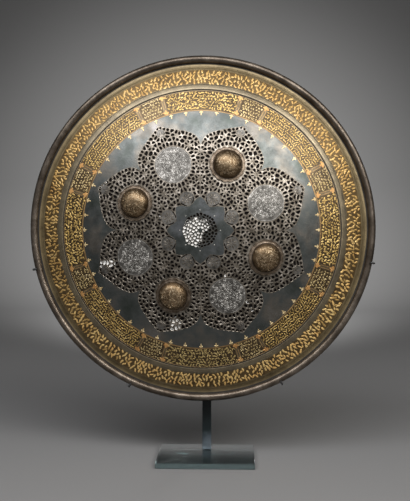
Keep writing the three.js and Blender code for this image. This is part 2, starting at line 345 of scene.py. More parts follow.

# %% [markdown]
# ## The pierced rosette
#
# The real rosette is sawn: a hole is drilled for each opening, a fine blade is threaded through,
# and the opening is cut to its line. What is left is a net of thin strands.
#
# Half a petal is laid out: stars of holes along the spine between two petals, two small
# flowers, and rows that follow each border. Loose holes fill what remains and are pushed apart
# until they are even. Then every hole takes the space that is nearer to it than to any other,
# less half a strand. Mirroring and turning that half petal sixteen times gives the rosette.

# %% Landmarks of half a petal, with its spine along +X
PETALS = 8
PETAL_TURN = 360.0 / PETALS  # degrees from one spine to the next
HALF_PETAL = PETAL_TURN / 2  # degrees from the spine to the petal's own axis
BOSS_CIRCLE = 90.5
BOSS_SEAT = 24.3  # plain ring round each boss and medallion
PALMETTE = (134.0, 5.6)  # distance from the centre, and radius
ROUNDEL = (43.2, 9.8)
# Flowers: distance, degrees from the spine, radius of their ring of holes, number of holes, turn
FLOWERS = ((109.5, 7.6, 4.1, 7, 14), (58.0, 11.8, 4.1, 7, 8), (125.0, 14.4, 3.9, 6, 10))
STAR_NODES = (65.0, 83.0, 101.0)
SPINE_HOLES = (48.5, 54.0, 74.0, 92.0)
STRAND = 1.90  # width of what is left between two holes
NOTCH, SHOULDER, POINT = 118, 24.5, 3.0  # where petals meet, and what they swell and end by
CLEFT_DEPTH, CLEFT_TURN = 9.5, 1.4  # a narrow cleft cuts in between two petals
STAR_TIP, STAR_DEPTH = 42.5, 10
EDGE_CLEAR, STAR_CLEAR, PALMETTE_CLEAR, SPINE_CLEAR = 1.4, 0.8, 0.4, 0.7

seat = polar(BOSS_CIRCLE, HALF_PETAL)
palmette = polar(PALMETTE[0], HALF_PETAL)
roundel = polar(ROUNDEL[0], HALF_PETAL)
spines = PETAL_TURN * np.arange(PETALS)
axes = spines + HALF_PETAL


def share(degrees):
    """0 at the spine and 1 at the petal's axis."""
    return np.clip(np.abs(degrees) / HALF_PETAL, 0, 1)


def petal_edge(degrees):
    """Distance from the centre to the edge of the petals."""
    t = share(degrees)
    cleft = CLEFT_DEPTH * np.exp(-t * HALF_PETAL / CLEFT_TURN)
    return NOTCH + SHOULDER * t**0.82 + POINT * t**9 - cleft


def star_edge(degrees):
    """Distance from the centre to the edge of the plain star."""
    return STAR_TIP - STAR_DEPTH * share(degrees)


def away(points, centre):
    return np.hypot(points[:, 0] - centre[0], points[:, 1] - centre[1])


def may_be_cut(p):
    """True for the points of half a petal where the middle of a hole may lie."""
    r = np.hypot(p[:, 0], p[:, 1])
    degrees = np.degrees(np.arctan2(p[:, 1], p[:, 0]))
    inside = (r < petal_edge(degrees) - EDGE_CLEAR) & (r > star_edge(degrees) + STAR_CLEAR)
    clear = (away(p, seat) > BOSS_SEAT) & (away(p, palmette) > PALMETTE[1] + PALMETTE_CLEAR)
    clear &= away(p, roundel) > ROUNDEL[1]
    return inside & clear & (p[:, 1] > SPINE_CLEAR) & (degrees < HALF_PETAL)


# %% Holes laid out one by one
ROW_INSET, ROW_STEP = 3.0, 4.7
# Rings of holes round the boss, the palmette and the roundel: middle, radius, step
HALF_RINGS = ((seat, BOSS_SEAT + 2.6, 4.9), (palmette, 8.6, 4.2), (roundel, 12.2, 4.4))


def ring_of_holes(centre, radius, count, turn=0.0, arc=360.0):
    degrees = turn + arc * np.arange(count) / count
    return np.asarray(centre) + polar(radius, degrees)


def row_along_edge(inset, step):
    """Evenly spaced points that follow the edge of the petal."""
    degrees = np.linspace(0, HALF_PETAL, 400)
    line = polar(petal_edge(degrees) - inset, degrees)
    run = np.r_[0, np.cumsum(np.hypot(*np.diff(line, axis=0).T))]
    count = int(run[-1] / step)
    at = run[-1] * (np.arange(count) + 0.5) / count
    return np.stack([np.interp(at, run, line[:, 0]), np.interp(at, run, line[:, 1])], axis=1)


rows = [ring_of_holes((x, 0), 4.6, 4, turn=HALF_PETAL, arc=180) for x in STAR_NODES]
rows.append(np.array([(x, 2.3) for x in SPINE_HOLES]))
flower_hearts = np.array([polar(r, degrees) for r, degrees, *_ in FLOWERS])
for heart, (*_, radius, count, turn) in zip(flower_hearts, FLOWERS):
    rows.append(ring_of_holes(heart, radius, count, turn=turn))
rows.append(row_along_edge(ROW_INSET, ROW_STEP))
for middle, radius, step in HALF_RINGS:
    count = int(math.pi * radius / step)
    half_step = 90.0 / count
    rows.append(ring_of_holes(middle, radius, count, HALF_PETAL + 180 + half_step, 180))
laid_out = np.vstack(rows)
laid_out = laid_out[may_be_cut(laid_out)]
print("holes laid out by hand:", len(laid_out))


# %% Loose holes, pushed apart until they are even
def spaced(candidates, taken, gap):
    """The candidates that keep their distance from those taken and from each other."""
    taken, kept = [tuple(p) for p in taken], []
    for p in candidates:
        if all((p[0] - q[0]) ** 2 + (p[1] - q[1]) ** 2 > gap * gap for q in taken):
            taken.append(tuple(p))
            kept.append(tuple(p))
    return np.array(kept)


def with_mirrors(p):
    """The holes, and their images in the spine and in the petal's axis."""
    a = math.radians(PETAL_TURN)
    across_axis = np.array([[math.cos(a), math.sin(a)], [math.sin(a), -math.cos(a)]])
    return np.vstack([p, p * [1, -1], p @ across_axis])


LAID_OUT_GAP, LOOSE_GAP = 3.4, 4.7  # least distance between the middles of two holes
FIRST_TRIES = 6000
ROUNDS = 30
PUSH = 0.65  # how far each round moves a hole towards the middle of its own space
FINE_STEP = 0.6  # mm between the points that share out the space

random = np.random.default_rng(7)
laid_out = spaced(laid_out, flower_hearts, LAID_OUT_GAP)
scattered = random.uniform((40, 0), (146, 57), (FIRST_TRIES, 2))
fixed = np.vstack([flower_hearts, laid_out])
loose = spaced(scattered[may_be_cut(scattered)], fixed, LOOSE_GAP)
ground = np.mgrid[38:147:FINE_STEP, 0:58:FINE_STEP].reshape(2, -1).T
ground = ground[may_be_cut(ground)]
for _ in range(ROUNDS):
    holes = with_mirrors(np.vstack([fixed, loose]))
    nearest = ((ground[:, None, :] - holes[None]) ** 2).sum(-1).argmin(1)
    for k in range(len(loose)):
        own = ground[nearest == len(fixed) + k]
        if len(own):
            loose[k] = (1 - PUSH) * loose[k] + PUSH * own.mean(0)
seeds = np.vstack([fixed, loose])
print("holes in half a petal:", len(laid_out) + len(loose))


# %% Cut each hole to its line
PETAL_BORDER = 1.1  # what is left between the outermost holes and the plain field
STAR_BORDER = 1.2
SEAT_BORDER = 0.6  # the same round the boss, the palmette and the roundel
LOOK_ASIDE = 7  # degrees along a border to either side of a hole
NEIGHBOURS = 15
LARGEST_HALF = 9  # mm from the middle of a hole to the side of the square it is cut from


def clipped(polygon, normal, limit):
    """The part of a convex polygon on the near side of a line."""
    side = polygon @ normal - limit
    kept = []
    for i in range(len(polygon)):
        j = (i + 1) % len(polygon)
        if side[i] <= 0:
            kept.append(polygon[i])
        if side[i] * side[j] < 0:
            kept.append(polygon[i] + (polygon[j] - polygon[i]) * side[i] / (side[i] - side[j]))
    return np.array(kept)


def border_lines(p):
    """Lines (normal, limit) that keep a hole at p off the borders near it."""
    lines = []
    for middle, radius in ((seat, BOSS_SEAT), (palmette, PALMETTE[1]), (roundel, ROUNDEL[1])):
        inward = (middle - p) / np.hypot(*(middle - p))
        lines.append((inward, inward @ middle - radius - SEAT_BORDER))
    own = math.degrees(math.atan2(p[1], p[0]))
    degrees = np.clip(np.linspace(own - LOOK_ASIDE, own + LOOK_ASIDE, 61), 0, HALF_PETAL)
    for edge, outward, margin in ((petal_edge, 1, PETAL_BORDER), (star_edge, -1, STAR_BORDER)):
        line = polar(edge(degrees), degrees)
        k = int(np.clip(away(line, p).argmin(), 1, 59))
        along = line[k + 1] - line[k - 1]
        if not along.any():
            along = np.array([-p[1], p[0]])
        normal = np.array([along[1], -along[0]]) / np.hypot(*along)
        normal *= outward * np.sign(normal @ line[k])
        lines.append((normal, normal @ line[k] - margin))
    return lines


def cut_hole(p, others, strand, borders):
    """The space nearer to p than to any other point, less half a strand, inside the borders."""
    polygon = p + LARGEST_HALF * np.array([(-1, -1), (1, -1), (1, 1), (-1, 1)])
    lines = list(borders)
    for other in others[away(others, p).argsort()[1:NEIGHBOURS + 1]]:
        gap = other - p
        if gap.any():
            normal = gap / np.hypot(*gap)
            lines.append((normal, normal @ (p + gap / 2) - strand / 2))
    for normal, limit in lines:
        polygon = clipped(polygon, normal, limit)
        if len(polygon) < 3:
            return None
    return polygon


def area(polygon):
    x, y = polygon.T
    return 0.5 * np.sum(x * np.roll(y, -1) - y * np.roll(x, -1))


def with_round_corners(polygon):
    """Cuts each corner off, and drops corners that lie closer together than 0.35 mm."""
    kept = np.array([p for i, p in enumerate(polygon) if np.hypot(*(p - polygon[i - 1])) > 0.35])
    following = np.roll(kept, -1, axis=0)
    near, far = 0.74 * kept + 0.26 * following, 0.26 * kept + 0.74 * following
    return np.stack([near, far], 1).reshape(-1, 2)


SMALLEST_HOLE = 1.3  # mm2
half_petal_holes = []
everyone = with_mirrors(seeds)
for p in seeds[len(flower_hearts):]:
    hole = cut_hole(p, everyone, STRAND * random.uniform(0.78, 1.25), border_lines(p))
    if hole is not None and area(hole) > SMALLEST_HOLE:
        half_petal_holes.append(with_round_corners(hole))
print("holes in the petals:", 2 * PETALS * len(half_petal_holes))

# %% Repeat it round the rosette
all_holes = []
for spine in spines:
    for hole in half_petal_holes:
        for side in (hole, (hole * [1, -1])[::-1]):
            all_holes.append(turned(side, spine))


# %% A hand's unevenness
def swayed(p):
    """Shifts flat points by up to half a millimetre, so that no two petals are quite alike."""
    x, y = np.asarray(p, float).T
    across = 0.30 * np.sin(y / 8.3 + 1.0) + 0.22 * np.sin(x / 5.1 + y / 17.0)
    up = 0.30 * np.sin(x / 9.1 + 2.0) + 0.22 * np.sin(y / 4.7 - x / 13.0)
    still = np.clip((146 - np.hypot(x, y)) / 10, 0, 1)  # fades out towards the edge of the sheet
    return np.stack([x + across * still, y + up * still], axis=1)


# %% [markdown]
# ## The middle of the rosette
#
# A small eight-lobed medallion is pierced the same way: rings of holes round one solid point.
# Each roundel at the foot of a petal is set off by two narrow curved slots.

# %% Middle medallion and slots
MIDDLE_RADIUS, MIDDLE_LOBES, LOBE_DEPTH = 23.4, 8, 1.5
# Rings of holes: radius, number of holes, turn
MIDDLE_RINGS = ((3.9, 6, 0), (8.1, 12, 9), (12.2, 17, 3), (16.4, 22, 7.5), (20.3, 30, 2))
MIDDLE_STRAND, MIDDLE_BORDER, SMALLEST_MIDDLE_HOLE = 1.15, 1.0, 1.0
SLOT_FROM, SLOT_TO = 22, 78  # degrees either side of the inward direction
SLOT_INNER, SLOT_OUTER = 7.9, 9.0  # radii round the roundel's centre


def lobed(degrees, radius, lobes, depth):
    """Distance from the centre to a lobed edge."""
    return radius - depth * (1 - np.abs(np.cos(np.radians(lobes / 2 * degrees))))


def middle_edge(degrees):
    return lobed(degrees, MIDDLE_RADIUS, MIDDLE_LOBES, LOBE_DEPTH)


middle_rows = [np.zeros((1, 2))] + [ring_of_holes((0, 0), *ring) for ring in MIDDLE_RINGS]
middle_seeds = np.vstack(middle_rows)
middle_seeds[1:] += np.clip(random.normal(0, 0.62, middle_seeds[1:].shape), -1.1, 1.1)
for p in middle_seeds[1:]:
    degrees = math.degrees(math.atan2(p[1], p[0]))
    out = p / np.hypot(*p)
    edge_line = (out, middle_edge(degrees) - MIDDLE_BORDER)
    hole = cut_hole(p, middle_seeds, MIDDLE_STRAND, [edge_line])
    if hole is not None and area(hole) > SMALLEST_MIDDLE_HOLE:
        all_holes.append(with_round_corners(hole))
for axis in axes:
    for start in (SLOT_FROM, -SLOT_TO):
        turn = axis + 180 + start
        degrees = np.linspace(turn, turn + SLOT_TO - SLOT_FROM, 7)
        there, back = polar(SLOT_OUTER, degrees), polar(SLOT_INNER, degrees)[::-1]
        all_holes.append(polar(ROUNDEL[0], axis) + np.vstack([there, back]))
print("holes in all:", len(all_holes))

# %% [markdown]
# ## The sheet with its holes
#
# One flat triangulation fills the space between the holes. It is used twice: on the front, and
# turned over on the back. Between them each hole gets a rounded lip and a straight wall, so the
# strands catch the light on their edges, as filed strands do.

# %% Where pale filler shows
# Flaked places of the lining: (across, up, half width, half height) in mm from the axis.
FLAKED = ((-5.5, 5, 15.5, 10.5), (-13, -3, 11, 13.5), (-7, -10, 9, 10.5), (-122, -44, 12, 5.5),
          (-33, -121, 7.5, 8.5), (-50.5, 16.5, 2.6, 2.6), (31, -57, 2.6, 2.6), (-124, 62, 2.6, 2.6),
          (-129, 57.6, 2.6, 2.6), (59, -91, 2.4, 2.4), (66, -101, 2.4, 2.4))


def flaked_at(flat):
    """From 0, whole leather, to 1, bare filler."""
    flaked = np.zeros(len(flat))
    for x, y, half_width, half_height in FLAKED:
        apart = np.hypot((flat[:, 0] - x) / half_width, (flat[:, 1] - y) / half_height)
        flaked = np.maximum(flaked, np.clip(1.6 - apart, 0, 1))
    return flaked


# %% Names for the finishes of the plate, by number
PLATE_FINISHES = ("field_steel", "cut_steel", "hole_wall", "moulding_steel", "rim_steel",
                  "band_ground", "back_steel", "cove_steel", "medallion_steel", "chalk",
                  "star_steel", "inner_ground")
FIELD, CUT, WALL, MOULDED, RIM, BAND, BACK, COVED, PALE, CHALK, STAR, INNER = range(12)

# %% Lines that part one finish from another
SHEET_RADIUS = 147.0
SHEET_SIDES = 320
MEDALLION_FIELD = 23.5  # radius of the whole, unpierced steel
MIDDLE_CLEAR = 0.8  # mm from the middle medallion to the line round it
round_turn = np.arange(0, 360, 0.5)


def from_spine(degrees):
    """Degrees from the nearest spine."""
    return HALF_PETAL - np.abs((degrees % PETAL_TURN) - HALF_PETAL)


def circle_line(centre, radius, count):
    return np.asarray(centre) + polar(radius, 360 * np.arange(count) / count)


parting_lines = [
    polar(petal_edge(from_spine(round_turn)) - PETAL_BORDER / 2, round_turn),
    polar(star_edge(from_spine(round_turn)), round_turn),
    polar(middle_edge(round_turn) + MIDDLE_CLEAR, round_turn),
]
for axis in axes:
    for distance, radius, count in ((BOSS_CIRCLE, MEDALLION_FIELD, 72), (*ROUNDEL, 40), (*PALMETTE, 28)):
        parting_lines.append(circle_line(polar(distance, axis), radius, count))


def finish_at(flat):
    """Field, net or star, or pale steel in the medallions, roundels and palmettes."""
    r = np.hypot(flat[:, 0], flat[:, 1])
    spine = from_spine(np.degrees(np.arctan2(flat[:, 1], flat[:, 0])))
    kind = np.where(r < petal_edge(spine) - PETAL_BORDER / 2, CUT, FIELD)
    kind[r < star_edge(spine)] = STAR
    for k, axis in enumerate(axes):
        for distance, radius in (ROUNDEL, PALMETTE):
            kind[away(flat, polar(distance, axis)) < radius] = PALE
        if k % 2 == 0:
            kind[away(flat, polar(BOSS_CIRCLE, axis)) < MEDALLION_FIELD] = PALE
    return kind


# %% Triangulate the front
LIP = 0.36  # mm that a hole widens at its lip
GRID_STEP = 4.5
CLEAR_OF_HOLE, CLEAR_OF_LINE = 3.2, 1.5  # mm that the points of the plain grid keep away


def widened(hole, by):
    """A hole whose corners move away from its middle."""
    arm = hole - hole.mean(0)
    return hole + by * arm / np.hypot(arm[:, 0], arm[:, 1])[:, None]


flat_points, loops = [], []
for hole in all_holes:
    loops.append(list(range(len(flat_points), len(flat_points) + len(hole))))
    flat_points.extend(widened(hole, LIP))
hole_corners = len(flat_points)
edges = []
roundel_centres = polar(ROUNDEL[0], axes)
for line in parting_lines:
    start = len(flat_points)
    flat_points.extend(line)
    # A line stops where it would run into a roundel.
    from_roundel = np.hypot(*(line[:, None] - roundel_centres[None]).transpose(2, 0, 1)).min(1)
    clear = from_roundel > ROUNDEL[1] - 0.05
    for i in range(len(line)):
        j = (i + 1) % len(line)
        if clear[i] and clear[j]:
            edges.append((start + i, start + j))
flat_points.extend(circle_line((0, 0), SHEET_RADIUS, SHEET_SIDES))

taken = np.array(flat_points)
grid = np.mgrid[-144:145:GRID_STEP, -144:145:GRID_STEP].reshape(2, -1).T
grid = grid[np.hypot(grid[:, 0], grid[:, 1]) < SHEET_RADIUS - 2]
middles = np.array([hole.mean(0) for hole in all_holes])
near_hole = ((grid[:, None] - middles[None]) ** 2).sum(-1).min(1) < CLEAR_OF_HOLE**2
grid = grid[~near_hole]
crowded = np.array([((taken - g) ** 2).sum(1).min() < CLEAR_OF_LINE**2 for g in grid])
flat_points.extend(grid[~crowded])

cdt = delaunay_2d_cdt([Vector(p) for p in flat_points], edges, loops, 0, 1e-6, True)
drawn = np.array([tuple(p) for p in cdt[0]])
front = [list(face) for face, inside in zip(cdt[2], cdt[5]) if not inside]
print("front triangles:", len(front), "lines that crossed a hole:", len(drawn) - len(flat_points))
assert np.abs(drawn[:hole_corners] - np.array(flat_points[:hole_corners])).max() < 1e-5

# %% Build the sheet: front, back, lips and walls
LIP_DEPTH = 0.40
BARE = 0.55  # where the lining is barer than this, the walls of the holes are pale too
back_start, lip_start = len(drawn), 2 * len(drawn)
foot_corners = np.vstack(all_holes)
narrow = drawn.copy()
narrow[:hole_corners] = foot_corners
sheet_points = np.vstack([on_dome(swayed(drawn)), on_dome(swayed(narrow), -PLATE_THICKNESS),
                          on_dome(swayed(foot_corners), -LIP_DEPTH)])
sheet_faces = front + [[back_start + i for i in face[::-1]] for face in front]
sheet_kinds = [*finish_at(drawn[np.array(front)].mean(1)), *[BACK] * len(front)]
wall_kinds = np.where(flaked_at(middles) > BARE, CHALK, WALL)
for loop, wall_kind in zip(loops, wall_kinds):
    for upper, lower, kind in ((0, lip_start, CUT), (lip_start, back_start, wall_kind)):
        for i, j in zip(loop, loop[1:] + loop[:1]):
            sheet_faces.append([upper + j, upper + i, lower + i, lower + j])
            sheet_kinds.append(kind)

# %% [markdown]
# ## The rest of the bowl
#
# Outside the rosette the plate is the same all the way round, so one outline is turned about the
# axis: the plain band grounds, the raised moulding between them, the cove, the rolled edge, and
# back again along the inside.

# %% Outline of the turned part
MOULDING = (183.2, 190.4, 0.55)  # inner foot, outer foot, height
QUIRK = (181.8, 183.2, 0.55)  # the narrow groove beside it: inner, outer, depth
COVE = (218.5, 0.6)  # lowest line of the cove: radius, and depth in front of the rim
TURNING_LINES = (212.6, 214.6)  # two fine ridges left on the cove
RIDGE_HEIGHT, RIDGE_WIDTH = 0.14, 0.35
COVE_END = 217.9  # a near-black line, painted shadow in the crease, parts the cove from the rolled edge
INNER_RADII = [SHEET_RADIUS, 153.6, *np.arange(158, 178, 5.0), 180.6]
MOULDING_RADII = [QUIRK[0], *np.linspace(182.0, 183.2, 5), *np.linspace(183.4, 184.3, 4), 185.6,
                  187.9, *np.linspace(189.2, 190.2, 4), MOULDING[1]]
OUTER_RADII = np.linspace(191.0, 210.4, 6)
BACK_RADII = np.linspace(211.5, SHEET_RADIUS, 9)
BEAD_TURNS = [*np.linspace(172, 0, 14), *np.linspace(-12, -162, 12)]


def ridge(r, start, end, height, flatness):
    """A low ridge between two radii. A flatness of 2 makes it round, and more makes it a band."""
    t = (r - start) / (end - start)
    return height * (1 - abs(2 * t - 1) ** flatness) if 0 < t < 1 else 0.0


def dome_outline(r, lift):
    """A point of an outline (radius, depth), raised by lift off the dome."""
    outward, forward = r / SPHERE_RADIUS, math.sqrt(1 - (r / SPHERE_RADIUS) ** 2)
    return (r + outward * lift, dome_depth(r) + forward * lift)


def cove_point(t):
    """A point of the cove, from 0 at the dome to 1 at its lowest line."""
    r = DOME_EDGE_RADIUS + (COVE[0] - DOME_EDGE_RADIUS) * t
    lines = RIDGE_HEIGHT * sum(math.exp(-((r - line) / RIDGE_WIDTH) ** 2) for line in TURNING_LINES)
    return (r, COVE[1] + (DOME_EDGE_DEPTH - COVE[1]) * (1 - t) ** 2 + lines)


outline = [dome_outline(r, 0) for r in INNER_RADII]
outline_kinds = [FIELD] + [INNER] * (len(INNER_RADII) - 2) + [MOULDED]  # one for each step
for r in MOULDING_RADII:
    lift = ridge(r, *MOULDING, flatness=6) - ridge(r, *QUIRK, flatness=2)
    outline.append(dome_outline(r, lift))
    outline_kinds.append(WALL if QUIRK[0] < r < QUIRK[1] - 0.1 else MOULDED)
outline += [dome_outline(r, 0) for r in OUTER_RADII]
outline_kinds += [BAND] * (len(OUTER_RADII) - 1) + [COVED]
for t in np.linspace(0, 1, 22):
    outline.append(cove_point(t))
    # The last steps of the cove take the near-black finish: painted shadow in the crease before the rolled
    # edge.
    outline_kinds.append(COVED if outline[-1][0] < COVE_END else WALL)
for degrees in BEAD_TURNS:
    across, up = polar(BEAD_RADIUS, degrees)
    outline.append((RIM_RADIUS - BEAD_RADIUS + across, up))
    # The inner side of the rolled edge, where it meets the cove, is painted near black too, as the same
    # shadow.
    outline_kinds.append(WALL if degrees > 160 else RIM)
outline.append((COVE[0], COVE[1] - PLATE_THICKNESS))
outline += [dome_outline(r, -PLATE_THICKNESS) for r in BACK_RADII]
outline_kinds += [BACK] * len(BACK_RADII)
print("points in the outline:", len(outline))


# %% Turn the outline and weld it to the sheet
def turned_surface(outline, kinds, sides):
    """Points and faces of an open outline turned all the way round the shield's axis."""
    degrees = 360 * np.arange(sides) / sides
    points = []
    for r, depth in outline:
        ring = polar(r, degrees)
        points.append(np.stack([CENTRE_X + ring[:, 0], np.full(sides, RIM_Y - depth),
                                CENTRE_Z + ring[:, 1]], axis=1) * MM)
    faces, numbers = [], []
    for step in range(len(outline) - 1):
        a, b = step * sides, (step + 1) * sides
        for i in range(sides):
            j = (i + 1) % sides
            faces.append([a + i, b + i, b + j, a + j])
            numbers.append(kinds[step])
    return np.vstack(points), faces, numbers


turned_points, turned_faces, turned_kinds = turned_surface(outline, outline_kinds, SHEET_SIDES)
plate = joined([(sheet_points, sheet_faces), (turned_points, turned_faces)])
shield_plate = make_piece("shield_plate", plate, PLATE_FINISHES,
                          sheet_kinds + turned_kinds)
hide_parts("shield_bowl")
weld(shield_plate, 0.00002)
shield_plate.data.set_sharp_from_angle(angle=math.radians(35))

# %% [markdown]
# ## A chaser's stroke
#
# Gold inlay, chased scrolls and raised lines are all made of one thing: a stroke that follows a
# path, swells and tapers, and stands a little proud with a flat top. Each stroke is a closed
# sliver of metal whose foot is sunk into the plate, so no edge floats.


# %% Strokes
SUNK = 0.08  # mm that the foot of a stroke goes into the plate


def stroke(path, widths, height, closed=False, top=0.62):
    """Points (across, up, lift) and faces of a stroke, in mm. widths is one or one a point,
    and top is the flat share of the width."""
    path = np.asarray(path, float)
    widths = np.broadcast_to(np.asarray(widths, float), len(path))
    if closed:
        along = np.roll(path, -1, axis=0) - np.roll(path, 1, axis=0)
    else:
        along = np.gradient(path, axis=0)
    along /= np.maximum(np.hypot(along[:, 0], along[:, 1]), 1e-9)[:, None]
    side = np.stack([-along[:, 1], along[:, 0]], axis=1) * widths[:, None] / 2
    n = len(path)
    rails = []
    for share_of_side, lift in ((1, -SUNK), (top, height), (-top, height), (-1, -SUNK)):
        rails.append(np.hstack([path + share_of_side * side, np.full((n, 1), lift)]))
    faces = []
    for i in range(n if closed else n - 1):
        j = (i + 1) % n
        for rail in range(4):
            a, b = rail * n, (rail + 1) % 4 * n
            faces.append([a + i, b + i, b + j, a + j])
    if not closed:
        last = n - 1
        faces += [[3 * n, 2 * n, n, 0], [last, n + last, 2 * n + last, 3 * n + last]]
    return np.vstack(rails), faces


def bend(points, steps=7):
    """A smooth path that starts and ends at the first and last point and leans to the others."""
    t = np.linspace(0, 1, steps)[:, None]
    layers = [np.asarray(point, float)[None] for point in points]
    while len(layers) > 1:
        layers = [(1 - t) * a + t * b for a, b in zip(layers, layers[1:])]
    return layers[0]


def swelling(steps, width, blunt=0.5):
    """Widths of a blade with rounded ends that swells in the middle."""
    t = np.linspace(0, 1, steps)
    widths = width * (blunt + (1 - blunt) * np.sin(math.pi * t) ** 0.7)
    widths[[0, -1]] *= 0.55
    return widths


def leaf(start, end, width, bow=0.0, steps=6, blunt=0.3):
    """A leaf from start to end: bow bends it sideways, as a share of its length."""
    start, end = np.asarray(start, float), np.asarray(end, float)
    across = np.array([-(end - start)[1], (end - start)[0]])
    path = bend((start, (start + end) / 2 + 2 * bow * across, end), steps)
    return path, swelling(steps, width, blunt)


def curl(centre, radius, start, sweep, width, steps=12, head=1.7):
    """A spiral that tightens, with a thick head at its end."""
    t = np.linspace(0, 1, steps)
    path = np.asarray(centre) + polar(radius * (1 - 0.68 * t), start + sweep * t)
    widths = width * (0.6 + 0.4 * t)
    widths[-3:] = width * head * np.array([0.8, 1.0, 0.45])
    widths[0] = width * 0.3
    return path, widths


def dropped(strokes, sway=False):
    """Joins flat strokes (points with lifts, faces) and drops them onto the dome."""
    points, faces = joined(strokes)
    flat = swayed(points[:, :2]) if sway else points[:, :2]
    return on_dome(flat, points[:, 2]), faces


def ring_stroke(radius, width, height, count=320, centre=(0, 0)):
    return stroke(circle_line(centre, radius, count), width, height, closed=True)


# %% [markdown]
# ## Raised lines of the net
#
# Raised lines edge the roundels, run down every spine and make small flowers and palmettes. They
# are filed from the same steel as the net.

# %% Net lines
RIB_FROM, RIB_TO, RIB_WIDTH, RIB_HEIGHT = 43, 107, 1.1, 0.28
LEAF_HEIGHT = 0.3
RAYS = 45.0 * np.arange(8)
STAR_RAY = (3.0, 0.9)  # length and width
FLOWER_FROM, FLOWER_TO, FLOWER_WIDTH = 2.4, 6.9, 2.0
EDGE_RING, HEART_RING, DOT_RING = (0.7, 0.18, 48), (1.0, 0.3, 12), (0.8, 0.34, 10)
PALMETTE_LEANS = (-70, -38, 0, 38, 70)
net_strokes = []
for spine, axis in zip(spines, axes):
    centre = polar(ROUNDEL[0], axis)
    net_strokes.append(ring_stroke(ROUNDEL[1] - 0.3, *EDGE_RING, centre))
    rib = polar(np.linspace(RIB_FROM, RIB_TO, 30), spine)
    net_strokes.append(stroke(rib, RIB_WIDTH, RIB_HEIGHT, top=0.4))
    for x in STAR_NODES:
        star = polar(x, spine)
        for ray in spine + RAYS:
            path, widths = leaf(star, star + polar(STAR_RAY[0], ray), STAR_RAY[1], steps=4)
            net_strokes.append(stroke(path, widths, LEAF_HEIGHT, top=0.4))
    for ray in axis + RAYS:
        root, tip = centre + polar(FLOWER_FROM, ray), centre + polar(FLOWER_TO, ray)
        net_strokes.append(stroke(*leaf(root, tip, FLOWER_WIDTH, blunt=0.35), LEAF_HEIGHT))
    net_strokes.append(ring_stroke(1.1, *HEART_RING, centre))
    foot = polar(PALMETTE[0] - 4.2, axis)
    for lean in PALMETTE_LEANS:
        tip = foot + polar(8.0 - abs(lean) * 0.04, axis + lean)
        net_strokes.append(stroke(*leaf(foot, tip, 1.4, bow=lean * 0.002), LEAF_HEIGHT))
    for heart in flower_hearts:
        for side in (1, -1):
            at = turned(heart[None] * [1, side], spine)[0]
            net_strokes.append(ring_stroke(1.0, *DOT_RING, at))
make_piece("net_lines", dropped(net_strokes, sway=True), ["cut_steel"])

# %% [markdown]
# ## Chased medallions, roundels and palmettes
#
# Four medallions lie in the same circle as the bosses. They are not pierced: the steel is left
# whole, polished pale and covered with chased scrolls. The small roundels and palmettes get the
# same work at a smaller size.


# %% Scrolls for a round field
def scrolls(radius, pitch, width, height):
    """Curls and leaves crowded into a round field, each leaning its own way."""
    made = []
    for row in range(int(radius / pitch) + 1):
        r = pitch * row
        count = max(1, int(round(2 * math.pi * r / pitch)))
        for k in range(count):
            at = polar(r, 360 * (k + 0.5 * (row % 2)) / count) + random.normal(0, 0.07 * pitch, 2)
            if math.hypot(*at) > radius - 0.2 * pitch:
                continue
            lean = random.uniform(0, 360)
            sweep = random.choice([-1, 1]) * random.uniform(250, 400)
            made.append(curl(at, 0.46 * pitch, lean, sweep, width, steps=9))
            tip = at + polar(0.62 * pitch, lean + 180)
            made.append(leaf(at + polar(0.2 * pitch, lean + 150), tip, 1.5 * width, 0.2, steps=5))
    return [stroke(path, widths, height, top=0.45) for path, widths in made]


def moved(strokes, centre):
    """Strokes shifted to stand round another point."""
    return [(points + [*centre, 0.0], faces) for points, faces in strokes]


def stud(centre, radius, height, sides=14):
    """A low round head of a pin."""
    rings = []
    for r, lift in ((1.0, -SUNK), (0.95, 0.45 * height), (0.62, 0.85 * height)):
        ring = circle_line(centre, r * radius, sides)
        rings.append(np.hstack([ring, np.full((sides, 1), lift)]))
    faces = ring_faces(0, sides, sides) + ring_faces(sides, 2 * sides, sides)
    faces += [list(range(2 * sides, 3 * sides)), list(range(sides))[::-1]]
    return np.vstack(rings), faces


# %% Place them on the plate
MEDALLION_SCROLLS = (21.7, 4.2, 1.20, 0.20)  # radius of the field, pitch, width, height
LOBED_LINE = (22.9, 8, 1.0)  # radius, lobes, and how deep they are
LINE_WIDTH, LINE_HEIGHT = 0.5, 0.12
PIN_CIRCLE, PIN_RADIUS, PIN_HEIGHT = 25.9, 0.95, 0.55
mottled("pale_steel", 0.85, 0.42, 0.58, 130, 0.0, (0.32, 0.18, 0.17, 0.155),
        (0.50, 0.39, 0.375, 0.345), (0.68, 0.74, 0.71, 0.665))
chased_strokes = []
for axis in axes[::2]:
    centre = polar(BOSS_CIRCLE, axis)
    chased_strokes += moved(scrolls(*MEDALLION_SCROLLS), centre)
    degrees = np.arange(0, 360, 4.0)
    line = centre + polar(lobed(degrees, *LOBED_LINE), degrees + HALF_PETAL)
    chased_strokes.append(stroke(line, LINE_WIDTH, LINE_HEIGHT, closed=True))
chased_strokes += [stud(polar(PIN_CIRCLE, spine), PIN_RADIUS, PIN_HEIGHT) for spine in spines]
make_piece("chased_scrolls", dropped(chased_strokes), ["pale_steel"])

# %% [markdown]
# ## Gold in the outer band
#
# The gold is beaten into a roughened ground. The motif is a thicket of small commas that lean
# outward or inward and seldom touch. A hand spaces them by eye, so they are laid out like that:
# each new comma keeps its distance from all those before it.

